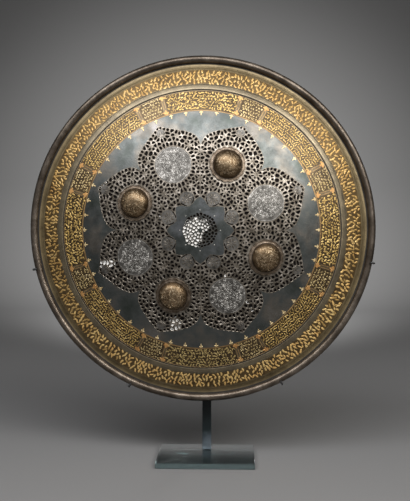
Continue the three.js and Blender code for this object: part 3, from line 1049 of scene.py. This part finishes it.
# %% Gold finishes
GOLDS = (
    ("gold", 0.75, 0.46, 0.60, 70, 0.9, (0.30, 0.40, 0.215, 0.050), (0.50, 0.62, 0.385, 0.112),
     (0.75, 0.80, 0.565, 0.235)),
    # This gold is painted reflection: paler, less metallic gold on the lower arc of the outer band, where a
    # low light in front would be mirrored.
    ("bright_gold", 0.5, 0.46, 0.60, 70, 0.8, (0.30, 0.82, 0.47, 0.135), (0.70, 1.0, 0.73, 0.29)),
    ("tarnished_gold", 0.75, 0.46, 0.60, 110, 0.8, (0.30, 0.22, 0.145, 0.040),
     (0.50, 0.50, 0.36, 0.13), (0.70, 0.70, 0.54, 0.23)),
    ("worn_gold", 0.75, 0.46, 0.60, 90, 0.8, (0.30, 0.25, 0.155, 0.040),
     (0.50, 0.66, 0.44, 0.125), (0.70, 0.88, 0.65, 0.255)),
    ("pale_gold", 0.75, 0.46, 0.60, 100, 0.9, (0.30, 0.26, 0.18, 0.070),
     (0.50, 0.58, 0.43, 0.18), (0.70, 0.80, 0.64, 0.34)),
)
for row in GOLDS:
    mottled(*row, grain=1400)

# %% The outer thicket
OUTER_MIDDLE = 200.2
OUTER_HALF = 8.2  # half the width that the middles of the commas fill
OUTER_REACH = 9.7  # half the width that their ends keep to
COMMA_SPACING = 3.8
COMMA_TRIES = 11000
COMMA_HEIGHT = 0.2
COMMA_WIDTHS = np.array([0.45, 0.62, 0.78, 0.90, 0.98, 1.0, 0.92, 0.55])  # from tail to head
PAINTED_REFLECTION_DEGREES, FADING = 278, 48  # degrees: where the gold is painted brightest, as the reflection of a low light in front, and how fast that fades
def round_band(path, degrees, middle):
    """Bends a path (along, outward) round the band: degrees is where its zero lies."""
    along, outward = np.asarray(path, float).T
    return polar(middle + outward, degrees + np.degrees(along / middle))


def comma(middle, lean, length, width):
    """A short curved stroke with a thick head and a thinner tail."""
    half = polar(length / 2, lean)
    aside = polar(random.choice([-1, 1]) * random.uniform(0.6, 1.5), lean + 90)
    tail, head = middle - half, middle + half
    path = bend((tail, middle - 0.3 * half + aside, middle + 0.4 * half - aside, head), 8)
    r = np.hypot(path[:, 0], path[:, 1])
    path *= (np.clip(r, OUTER_MIDDLE - OUTER_REACH, OUTER_MIDDLE + OUTER_REACH) / r)[:, None]
    return path, width * COMMA_WIDTHS


random = np.random.default_rng(21)
distances = OUTER_MIDDLE + random.uniform(-OUTER_HALF, OUTER_HALF, COMMA_TRIES)
candidates = polar(distances, random.uniform(0, 360, COMMA_TRIES))
outer_strokes, outer_kinds = [], []
for spot in spaced(candidates, [], COMMA_SPACING):
    degrees = math.degrees(math.atan2(spot[1], spot[0])) % 360
    # Strokes near the bottom of the band take the paler gold, as painted reflection.
    in_painted_reflection = random.random() < 1.7 - abs(degrees - PAINTED_REFLECTION_DEGREES) / FADING
    lean = degrees + random.normal(0, 30) + random.choice([0, 180])
    path, widths = comma(spot, lean, random.uniform(3.6, 6.4), random.uniform(2.3, 3.2))
    outer_strokes.append(stroke(path, widths, COMMA_HEIGHT))
    outer_kinds += [int(in_painted_reflection)] * len(outer_strokes[-1][1])
print("commas in the outer band:", len(outer_strokes))
make_piece("outer_gold", dropped(outer_strokes), ["gold", "bright_gold"], outer_kinds)

# %% [markdown]
# ## Gold in the inner band
#
# The inner band is parted into eight long panels and eight short ones. Four long panels hold
# bold curls. The other four hold close upright and level strokes that fill the place of an
# inscription and spell nothing. The short panels hold thin scrolls.

# %% Grains that fill a panel
INNER_BAND = (156.2, 180.4)
INNER_MIDDLE = sum(INNER_BAND) / 2
LONG_HALF, SHORT_HALF = 16.7, 5.8  # degrees from the middle of a panel to its end
# Places in each sort of panel: half its degrees, pitch, rows, and the margin at its ends
BOLD, CLOSE, SHORT = (LONG_HALF, 4.1, 6, 4.4), (LONG_HALF, 3.5, 7, 4.2), (SHORT_HALF, 3.7, 6, 4.6)
BOLD_HEIGHT, CLOSE_HEIGHT, SHORT_HEIGHT = 0.18, 0.14, 0.12
UPRIGHT_OR_LEVEL = [90, 90, 0, 0, 20, 125]  # how the strokes of a close panel lean
WORN, TARNISHED, PALE_GILT = range(3)
inner_strokes, inner_kinds = [], []


def panel_spots(half_degrees, pitch, rows_of_spots, margin):
    """Evenly staggered places (along, outward) that fill a panel."""
    reach = math.radians(half_degrees) * INNER_MIDDLE - margin
    depth = (INNER_BAND[1] - INNER_BAND[0]) / 2 - pitch * 0.45
    spots = []
    for row, outward in enumerate(np.linspace(-depth, depth, rows_of_spots)):
        for along in np.arange(-reach + pitch / 2 * (row % 2), reach + 0.1, pitch):
            spots.append((along, outward))
    return np.array(spots)


def grain(spot, lean, half_length, width, bow, steps, blunt):
    """A short leaf with its middle at a spot."""
    half = polar(half_length, lean)
    return leaf(spot - half, spot + half, width, bow, steps, blunt)


def add_inner(drawn_stroke, degrees, height, kind):
    path, widths = drawn_stroke
    inner_strokes.append(stroke(round_band(path, degrees, INNER_MIDDLE), widths, height))
    inner_kinds.extend([kind] * len(inner_strokes[-1][1]))


# %% Bold panels
for k in range(4):
    for spot in panel_spots(*BOLD):
        spot = spot + random.normal(0, 0.4, 2)
        lean = random.uniform(0, 360)
        if random.random() < 0.4:
            turn = random.choice([-1, 1]) * random.uniform(200, 290)
            made = curl(spot, 2.1, lean, turn, 1.5, steps=8, head=1.35)
        else:
            half_length, width = random.uniform(1.5, 2.5), random.uniform(2.0, 2.6)
            made = grain(spot, lean, half_length, width, random.normal(0, 0.16), 5, 0.6)
        add_inner(made, 90 * k, BOLD_HEIGHT, TARNISHED if k == 3 else WORN)

# %% Close-stroked panels
for k in range(4):
    for spot in panel_spots(*CLOSE):
        spot = spot + random.normal(0, 0.25, 2)
        lean = random.choice(UPRIGHT_OR_LEVEL) + random.normal(0, 9)
        half_length, width = random.uniform(1.4, 2.3), random.uniform(1.5, 1.9)
        made = grain(spot, lean, half_length, width, random.normal(0, 0.14), 4, 0.6)
        add_inner(made, 45 + 90 * k, CLOSE_HEIGHT, WORN)

# %% Short panels
for axis in axes:
    for spot in panel_spots(*SHORT):
        spot = spot + random.normal(0, 0.3, 2)
        lean = random.uniform(0, 360)
        if random.random() < 0.5:
            made = curl(spot, 1.8, lean, random.uniform(200, 330), 1.4, steps=8)
        else:
            half_length = random.uniform(1.0, 1.8)
            made = grain(spot, lean, half_length, random.uniform(1.9, 2.4), 0.1, 4, 0.7)
        add_inner(made, axis, SHORT_HEIGHT, PALE_GILT)
make_piece("inner_gold", dropped(inner_strokes),
           ["worn_gold", "tarnished_gold", "pale_gold"], inner_kinds)

# %% [markdown]
# ## Dividers, lines and the fringe
#
# Between two panels stands a plain column with a knot of three gold leaves at each end. A gold
# line edges the inner band, and a fringe of small three-leaved finials points in from it, one
# every seven and a half degrees.

# %% Dividers and lines
TRIMS = (
    ("red_gold", 0.75, 0.46, 0.60, 90, 0.7, (0.30, 0.50, 0.24, 0.065), (0.70, 0.78, 0.45, 0.16)),
    ("dull_gold", 0.75, 0.46, 0.60, 120, 1.0, (0.30, 0.20, 0.115, 0.038), (0.70, 0.42, 0.26, 0.095)),
    ("light_gold", 0.7, 0.46, 0.60, 90, 1.0, (0.30, 0.66, 0.45, 0.18), (0.70, 0.86, 0.70, 0.40)),
    ("column_steel", 0.9, 0.42, 0.56, 90, 0.6, (0.30, 0.115, 0.085, 0.042),
     (0.70, 0.215, 0.165, 0.088)),
)
for row in TRIMS:
    mottled(*row)
KNOT_LEAVES = ((0, 5.6, 3.0), (52, 4.4, 2.9), (-52, 4.4, 2.9))  # lean, length, width
KNOT_HEIGHT, FINIAL_HEIGHT = 0.26, 0.25
COLUMN_WIDTH, COLUMN_HEIGHT = 5.6, 0.05
# Lines on a column: to the side, in from its ends, width, height
FLUTE_ASIDE, FLUTE_INSET, FLUTE_WIDTH, FLUTE_HEIGHT = 1.5, 6, 0.45, 0.10
LINES = ((154.6, 2.0, 0.08), (181.0, 0.5, 0.12))  # radius, width, height
trim_strokes, columns = [], []
low, high = INNER_BAND[0] - INNER_MIDDLE, INNER_BAND[1] - INNER_MIDDLE
for spine in spines:
    for degrees in (spine + LONG_HALF, spine - LONG_HALF):
        for end, inward in ((low - 0.4, 1), (high - 0.2, -1)):
            for lean, length, width in KNOT_LEAVES:
                tip = np.array([0.0, end]) + polar(length, 90 * inward + lean)
                path, widths = leaf((0.0, end), tip, width * random.uniform(0.9, 1.1), 0.1, 6, 0.7)
                path = round_band(path, degrees, INNER_MIDDLE)
                trim_strokes.append(stroke(path, widths, KNOT_HEIGHT, top=0.8))
        line = round_band(np.linspace((0, low), (0, high), 5), degrees, INNER_MIDDLE)
        columns.append(stroke(line, COLUMN_WIDTH, COLUMN_HEIGHT, top=0.96))
        for aside in (-FLUTE_ASIDE, FLUTE_ASIDE):
            line = np.linspace((aside, low + FLUTE_INSET), (aside, high - FLUTE_INSET), 5)
            line = round_band(line, degrees, INNER_MIDDLE)
            trim_strokes.append(stroke(line, FLUTE_WIDTH, FLUTE_HEIGHT))
dull_strokes = [ring_stroke(*line) for line in LINES]

# %% Fringe
FINIALS = 48
FRINGE_FOOT = 153.4
FINIAL_LEAVES = ((0, 5.4, 1.9), (58, 3.0, 1.8), (-58, 3.0, 1.8))
light_strokes = []
for k in range(FINIALS):
    degrees = 360 * k / FINIALS + random.normal(0, 0.25)
    root = polar(FRINGE_FOOT, degrees)
    for lean, length, width in FINIAL_LEAVES:
        tip = root + polar(length * random.uniform(0.88, 1.1), degrees + 180 + lean)
        path, widths = leaf(root, tip, width, bow=-lean * 0.002, blunt=0.6)
        light_strokes.append(stroke(path, widths, FINIAL_HEIGHT))
trim_groups = (trim_strokes, dull_strokes, light_strokes, columns)
trim_kinds = []
for kind, group in enumerate(trim_groups):
    trim_kinds += [kind] * sum(len(faces) for _, faces in group)
make_piece("gold_trim", dropped(sum(trim_groups, [])), [row[0] for row in TRIMS],
           trim_kinds)

# %% [markdown]
# ## The bosses
#
# Each boss is cast and then chased: a dome in a flat collar with a lobed edge. Its shank goes
# through the plate and the lining, and is clenched over inside. The dome is turned like the
# plate, about its own leaning axis, and the scrolls are laid on it in the same way.

# %% Boss shape
BRONZES = (
    ("bronze", 0.9, 0.34, 0.50, 90, 0.0, (0.32, 0.060, 0.038, 0.018), (0.52, 0.15, 0.10, 0.055),
     (0.72, 0.30, 0.215, 0.13)),
    ("rubbed_bronze", 0.9, 0.36, 0.50, 160, 0.0, (0.32, 0.19, 0.135, 0.080),
     (0.50, 0.36, 0.275, 0.175), (0.68, 0.62, 0.50, 0.34)),
)
for row in BRONZES:
    mottled(*row)
mottled("collar_bronze", 0.9, 0.38, 0.52, 150, 0.0, (0.30, 0.075, 0.053, 0.035),
        (0.50, 0.15, 0.115, 0.083), (0.70, 0.30, 0.24, 0.185), dent=0.0003)
BOSS_NAMES = ("boss_upper_right", "boss_upper_left", "boss_lower_left", "boss_lower_right")
DOME_RADIUS, DOME_HEIGHT, DOME_FOOT = 18.2, 10.8, 1.7
COLLAR_LOBES, COLLAR_LOBE_DEPTH = 16, 1.1
LOBES_FROM, LOBES_FADE = 19.4, 3.5  # mm from the axis: where the lobes begin and how they grow
BOSS_SCROLLS = (17.4, 3.4, 0.95, 0.34)  # radius of the field, pitch, width, height
BOSS_SIDES = 160
GAP = 0.3  # mm between two pieces that only touch
LINING_THICKNESS = 1.3
BEHIND = -(PLATE_THICKNESS + LINING_THICKNESS + 3 * GAP)  # where the clenched end begins
# Outlines of the clenched end and of the collar: distance from the axis, height
CLENCH = ((0.0, -2.0), (2.5, -1.9), (4.6, -1.4), (5.6, -0.6), (5.9, -0.1), (5.6, 0), (2.5, 0))
COLLAR = ((2.5, 0), (22.4, 0), (23.1, 0.2), (23.3, 0.8), (22.9, 1.3), (22.4, 1.3), (22.0, 0.9),
          (20.8, 1.0), (19.6, 1.2), (19.1, 1.4), (18.8, 1.2), (18.5, 0.6), (18.3, 0.6))


def boss_height(r):
    """Height of the boss's dome over the plate."""
    return GAP + DOME_FOOT + DOME_HEIGHT * np.sqrt(np.clip(1 - (r / DOME_RADIUS) ** 2, 0, 1))


boss_outline = [(r, BEHIND + height) for r, height in CLENCH]
boss_outline += [(r, GAP + height) for r, height in COLLAR]
collar_steps = len(boss_outline)
dome_radii = [*DOME_RADIUS * np.cos(np.radians(np.linspace(4, 84, 14))), 0.0]
boss_outline += [(r, boss_height(r)) for r in dome_radii]


def leaning(points, k):
    """Local points (across, up, height) of boss k, as places in metres."""
    flat = polar(BOSS_CIRCLE, axes[1] + 90 * k)
    foot = on_dome(flat[None])[0]
    out = on_dome(flat[None], 1.0)[0] - foot
    out /= np.linalg.norm(out)
    radial = np.array([flat[0], 0, flat[1]]) / BOSS_CIRCLE
    across = np.cross(radial, out)
    across /= np.linalg.norm(across)
    up = np.cross(out, across)
    return foot + (points[:, :1] * across + points[:, 1:2] * up + points[:, 2:] * out) * MM


def boss_body():
    """Points and faces of the turned boss, with the lobes of its collar."""
    degrees = 360 * np.arange(BOSS_SIDES) / BOSS_SIDES
    lobes = np.abs(np.sin(np.radians(COLLAR_LOBES / 2 * degrees)))
    points, faces = [], []
    for step, (r, height) in enumerate(boss_outline):
        depth = COLLAR_LOBE_DEPTH * np.clip((r - LOBES_FROM) / LOBES_FADE, 0, 1)
        ring = polar(r - depth * (1 - lobes), degrees)
        points.append(np.column_stack([ring, np.full(BOSS_SIDES, height)]))
        if step:
            faces += ring_faces((step - 1) * BOSS_SIDES, step * BOSS_SIDES, BOSS_SIDES)
    return np.vstack(points), faces


# %% Scrolls on the boss, and the four copies
scroll_points, scroll_faces = joined(scrolls(*BOSS_SCROLLS))
scroll_r = np.hypot(scroll_points[:, 0], scroll_points[:, 1])
steepness = np.clip(scroll_r / DOME_RADIUS, 0, 0.97)
rise = scroll_points[:, 2] / np.sqrt(1 - steepness**2) * 0.9
scroll_points[:, 2] = boss_height(scroll_r) + rise
body_points, body_faces = boss_body()
points, faces = joined([(body_points, body_faces), (scroll_points, scroll_faces)])
kinds = [int(face[0] < collar_steps * BOSS_SIDES) for face in body_faces] + [2] * len(scroll_faces)
for k, name in enumerate(BOSS_NAMES):
    boss = make_piece("chased_" + name, (leaning(points, k), faces),
                      ["bronze", "collar_bronze", "rubbed_bronze"], kinds, crease=40)
    weld(boss, 0.000005, face_outward=False)
    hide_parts(name)

# %% [markdown]
# ## The lining
#
# Thin leather is glued into the hollow, dark in front and brown behind. It is what makes the
# holes look black from the front. In a few places its dark face has flaked away, and pale
# backing shows through the holes.

# %% Lining shape
LINING_TOP = -(PLATE_THICKNESS + GAP)
LINING_UNDER = LINING_TOP - LINING_THICKNESS
LINING_SIDES = 256
FRONT_REACH = 2.4  # mm behind the dome that still count as the front of the lining
mottled("brown_leather", 0.0, 0.55, 0.80, 30, 0.0, (0.30, 0.060, 0.030, 0.016),
        (0.52, 0.115, 0.060, 0.032), (0.72, 0.19, 0.110, 0.062), grain=700, dent=0.0004)
leather, shader = new_finish("leather", {"Roughness": 0.9, "Specular IOR Level": 0.15})


def underside(r):
    """The back of the lining, with a groove and a rolled ridge near its edge."""
    groove = 0.35 * math.exp(-((r - 206) / 1.6) ** 2)
    roll = 0.25 * math.exp(-((r - 202) / 0.7) ** 2)
    return dome_outline(r, LINING_UNDER - groove + roll)


lining_outline = [dome_outline(r, LINING_TOP) for r in np.linspace(0, 209, 96)]
lining_outline += [dome_outline(210.2, LINING_TOP - 0.2), dome_outline(210.6, LINING_TOP - 0.65)]
front_steps = len(lining_outline) - 1
lining_outline += [underside(r) for r in (210.2, 208, 206, 204, 203, 202, 201, *np.linspace(198, 0, 24))]
lining_kinds = [0] * front_steps + [1] * (len(lining_outline) - front_steps)
lining_points, lining_faces, lining_kinds = turned_surface(lining_outline, lining_kinds, LINING_SIDES)
lining = make_piece("leather_lining", (lining_points, lining_faces),
                    ["leather", "brown_leather"], lining_kinds)
weld(lining, 0.00001)
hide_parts("lining")

# %% Wear and finish of the leather
places = np.array([v.co for v in lining.data.vertices]) / MM
flat = places[:, [0, 2]] - [CENTRE_X, CENTRE_Z]
on_front = places[:, 1] < RIM_Y - dome_depth(np.hypot(flat[:, 0], flat[:, 1])) + FRONT_REACH
wear = lining.data.attributes.new("flaked", "FLOAT", "POINT")
wear.data.foreach_set("value", (flaked_at(flat) * on_front).astype(np.float32))

dark = ramp(leather, cloud(leather, 60), ((0.3, 0.004, 0.003, 0.003), (0.75, 0.012, 0.009, 0.007)))
pale = ramp(leather, cloud(leather, 300), ((0.3, 0.82, 0.80, 0.76), (0.7, 0.93, 0.92, 0.90)))
worn_here = node(leather, "ShaderNodeAttribute", attribute_name="flaked").outputs["Fac"]
ragged = added(leather, worn_here, spread(leather, cloud(leather, 250), -0.3, 0.3))
mix = node(leather, "ShaderNodeMix", data_type="RGBA")
link(leather, spread(leather, ragged, 0, 1, between=(0.55, 0.68)), mix.inputs["Factor"])
link(leather, dark, mix.inputs["A"])
link(leather, pale, mix.inputs["B"])
link(leather, mix.outputs["Result"], shader.inputs["Base Color"])
bumped(leather, shader, cloud(leather, 700, detail=5.0), 0.0003)

# %% [markdown]
# ## The stand
#
# The post is a square bar. The cradle is two flat bars behind the rim, each ending in two bent
# rods that hook round the edge. The foot is a plate of clear glass. The post and the bars get
# slightly rounded edges, because no real edge is perfectly sharp and the light finds it.


# %% Bars with softened edges
def softened_box(low, high, radius, segments=3):
    """Points and faces of a box with rounded edges."""
    work = bmesh.new()
    bmesh.ops.create_cube(work, size=1.0)
    size, middle = (high - low), (high + low) / 2
    for v in work.verts:
        v.co = Vector(v.co[i] * size[i] + middle[i] for i in range(3))
    bmesh.ops.bevel(work, geom=work.edges[:], offset=radius, segments=segments, profile=0.5, affect="EDGES")
    points = np.array([tuple(v.co) for v in work.verts])
    faces = [[v.index for v in f.verts] for f in work.faces]
    work.free()
    return points, faces


POST_PAINTED_LIGHT_BETWEEN = (0.007, 0.075)  # metres above the floor: the post is painted pale at the foot, where light falls on it, and near black above, as the shield's shadow
# Painted light and shade on the post: pale blue-grey at the foot, as if lit, and near black higher up, as
# the shadow of the shield.
post_steel = mottled("post_steel", 0.5, 0.28, 0.38, 30, 0.0, (0.0, 0.22, 0.26, 0.30),
                     (0.38, 0.022, 0.030, 0.032), (1.0, 0.002, 0.004, 0.004), dent=0.00002)
painted_light_on_post = spread(post_steel, height_of(post_steel), 0, 1, between=POST_PAINTED_LIGHT_BETWEEN)
uneven = added(post_steel, painted_light_on_post, spread(post_steel, cloud(post_steel, 60), -0.06, 0.06))
colours = next(n for n in post_steel.node_tree.nodes if n.type == "VALTORGB")
link(post_steel, uneven, colours.inputs["Fac"])
post = make_piece("post", softened_box(*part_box("stand_post"), 0.0007), ["post_steel"])
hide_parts("stand_post")


# %% Rods
def rod(path, radius, sides=16):
    """Points and faces of a round rod along a path, all in metres."""
    path = np.asarray(path)
    along = np.gradient(path, axis=0)
    along /= np.linalg.norm(along, axis=1)[:, None]
    across = np.array([0.0, 0.0, 1.0]) if abs(along[0][2]) < 0.7 else np.array([1.0, 0.0, 0.0])
    turns = np.linspace(0, 2 * math.pi, sides, endpoint=False)[:, None]
    points, faces = [], []
    for step, (place, direction) in enumerate(zip(path, along)):
        across = across - direction * (across @ direction)
        across /= np.linalg.norm(across)
        other = np.cross(direction, across)
        points.append(place + radius * (np.cos(turns) * across + np.sin(turns) * other))
        if step:
            faces += ring_faces((step - 1) * sides, step * sides, sides)
    last = (len(path) - 1) * sides
    faces += [list(range(sides))[::-1], [last + i for i in range(sides)]]
    return np.vstack(points), faces


def at_rim(radius, degrees, y):
    across, up = polar(radius, degrees)
    return np.array([CENTRE_X + across, y, CENTRE_Z + up]) * MM


# %% Cradle arms
UPPER_HOOKS, LOWER_HOOKS = (-166.6, -11.0), (-114.9, -62.5)  # degrees round the rim
HOOK_RADIUS, HOOK_LIP, BEND = 1.5, 5.0, 2.4
ARM_END_RADIUS, ARM_HEIGHT, ARM_THICKNESS = 214.0, 8.0, 5.0
STUB_HEIGHT = 7.2  # the short block between an arm and the post
ARM_FRONT = RIM_Y + BEAD_RADIUS + GAP
ARM_MIDDLE = ARM_FRONT + ARM_THICKNESS / 2
post_low, post_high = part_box("stand_post")
mottled("black_paint", 0.0, 0.45, 0.6, 40, 0.0, (0.30, 0.012, 0.012, 0.012),
        (0.70, 0.03, 0.03, 0.03))


def hook_path(degrees):
    """From the arm outward, forward past the rim and in again over its face."""
    run = RIM_RADIUS + GAP + HOOK_RADIUS
    fore = RIM_Y - BEAD_RADIUS - GAP - HOOK_RADIUS
    path = [at_rim(ARM_END_RADIUS - 3, degrees, ARM_MIDDLE)]
    for across, up in polar(BEND, np.linspace(0, 90, 7)):
        path.append(at_rim(run - BEND + up, degrees, ARM_MIDDLE - BEND + across))
    for across, up in polar(BEND, np.linspace(0, 90, 7)):
        path.append(at_rim(run - BEND + across, degrees, fore + BEND - up))
    path.append(at_rim(run - HOOK_LIP, degrees, fore))
    return path


def cradle_arm(name, node_name, hooks):
    """A flat bar with a hooked rod at each end, and the stub that joins it to the post."""
    ends = [at_rim(ARM_END_RADIUS, degrees, ARM_MIDDLE) for degrees in hooks]
    length = np.linalg.norm(ends[1] - ends[0])
    half = np.array([length / 2, ARM_THICKNESS / 2 * MM, ARM_HEIGHT / 2 * MM])
    bar, bar_faces = softened_box(Vector(-half), Vector(half), 0.0006)
    along = (ends[1] - ends[0]) / length
    upward = np.array([-along[2], 0, along[0]])
    middle = (ends[0] + ends[1]) / 2
    bar = middle + bar[:, :1] * along + bar[:, 1:2] * np.array([0, 1, 0]) + bar[:, 2:] * upward
    at_post = middle[2] + (0 - middle[0]) * along[2] / along[0]
    stub_low = Vector((post_low.x, middle[1], at_post - STUB_HEIGHT / 2 * MM))
    stub_high = Vector((post_high.x, post_low.y - GAP * MM, at_post + STUB_HEIGHT / 2 * MM))
    parts = [(bar, bar_faces), softened_box(stub_low, stub_high, 0.0005)]
    parts += [rod(hook_path(degrees), HOOK_RADIUS * MM) for degrees in hooks]
    arm = make_piece(name, joined(parts), ["black_paint"])
    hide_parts(node_name)


cradle_arm("upper_arm", "upper_cradle_arm", UPPER_HOOKS)
cradle_arm("lower_arm", "lower_cradle_arm", LOWER_HOOKS)

# %% Glass foot
glass, shader = new_finish("glass", {"Base Color": (0.15, 0.24, 0.245, 1.0), "Alpha": 0.84,
                                     "Transmission Weight": 1.0, "Roughness": 0.0, "IOR": 1.5})
bumped(glass, shader, cloud(glass, 12, detail=1.0), 0.00002)
foot_box = softened_box(*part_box("base_plate"), 0.0008, segments=2)
foot = make_piece("glass_foot", foot_box, ["glass"])
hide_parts("base_plate")

# %% [markdown]
# ## Floor, backdrop and light
#
# The floor is plain and pale, and rises far behind into a backdrop whose paper is painted a little
# darker higher up, as shade. Metal shows what is round it more than its own colour, so the lights
# are large and soft: the key to the right, a broad one high in front for the sheen on the field, and
# a weak fill from the front. One spot lights the backdrop, and one the back of the shield.

# %% Floor and backdrop
FLOOR_LEVEL = -0.0004  # metres: a hair below the glass, so that the two never lie in one plane
FLOOR_HALF = 7.0
WALL_Y, WALL_TOP, COVE_BEND = 2.8, 3.4, 0.9
floor_line = [(y, FLOOR_LEVEL) for y in (-0.6, 0.0, 1.0, WALL_Y - COVE_BEND)]
for a in np.radians(np.arange(9, 91, 9)):
    floor_line.append((WALL_Y - COVE_BEND + COVE_BEND * math.sin(a), COVE_BEND * (1 - math.cos(a))))
floor_line.append((WALL_Y, WALL_TOP))
floor_points = [(x, y, z) for y, z in floor_line for x in (-FLOOR_HALF, FLOOR_HALF)]
floor_faces = [[2 * i, 2 * i + 1, 2 * i + 3, 2 * i + 2] for i in range(len(floor_line) - 1)]
floor_mesh = bpy.data.meshes.new("floor")
floor_mesh.from_pydata(floor_points, [], floor_faces)
floor_paper, shader = new_finish("floor_paper", {"Roughness": 0.9})
# Painted shade: the paper is painted darker higher up the backdrop.
painted_backdrop_shade = ramp(floor_paper, height_of(floor_paper), ((0.02, 0.20, 0.198, 0.196), (0.45, 0.15, 0.149, 0.147)))
link(floor_paper, painted_backdrop_shade, shader.inputs["Base Color"])
floor_mesh.materials.append(floor_paper)
floor_mesh.polygons.foreach_set("use_smooth", [True] * len(floor_faces))
placed("floor", floor_mesh)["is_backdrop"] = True


# %% Lights
def soft_light(name, direction, distance, width, height, watts, colour):
    """A large lamp that stands in a direction from the shield and faces it."""
    lamp = bpy.data.lights.new(name, "AREA")
    lamp.shape = "RECTANGLE"
    lamp.size, lamp.size_y = width, height
    lamp.energy = watts
    lamp.color = colour
    target = shield_centre * MM
    aimed(placed(name, lamp), target + Vector(direction).normalized() * distance, target)


def spot(name, place, target, degrees, watts):
    lamp = bpy.data.lights.new(name, "SPOT")
    lamp.energy = watts
    lamp.spot_size = math.radians(degrees)
    lamp.spot_blend = 1.0
    lamp.shadow_soft_size = 0.15
    aimed(placed(name, lamp), place, target)


soft_light("key", (0.54, -0.69, 0.48), 1.9, 0.9, 0.9, 23, (1.0, 0.98, 0.95))
soft_light("overhead", (-0.20, -0.69, 0.68), 1.8, 2.0, 0.7, 34, (0.98, 0.98, 1.0))
soft_light("front_fill", (0.1, -1.0, 0.12), 2.4, 2.2, 1.8, 1.6, (1.0, 1.0, 1.0))
spot("wall", (0.0, 0.3, 0.55), (-0.10, 2.8, 0.16), 62, 340)
spot("back", (0.45, 1.3, 0.62), (0.0, 0.0, 0.31), 34, 14)

ROOM_GREY, ROOM_STRENGTH = 0.20, 0.6
world = bpy.data.worlds.new("room")
world.use_nodes = True
room = world.node_tree.nodes["Background"]
room.inputs["Color"].default_value = (ROOM_GREY, ROOM_GREY, ROOM_GREY, 1.0)
room.inputs["Strength"].default_value = ROOM_STRENGTH
bpy.context.scene.world = world
bpy.context.scene.view_settings.view_transform = "Standard"

# %% [markdown]
# ## Last sizes
#
# Both boxes are printed: that of the solids and that of the fine model. The fine model
# has to stay inside the box of the solids.

# %% Sizes, and finish
made_low, made_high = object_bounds()
sizes = {"cad": [list(cad_low), list(cad_high)], "visual": [list(made_low), list(made_high)]}
for name, (low, high) in sizes.items():
    print(name, [round(v, 4) for v in (*low, *high)])
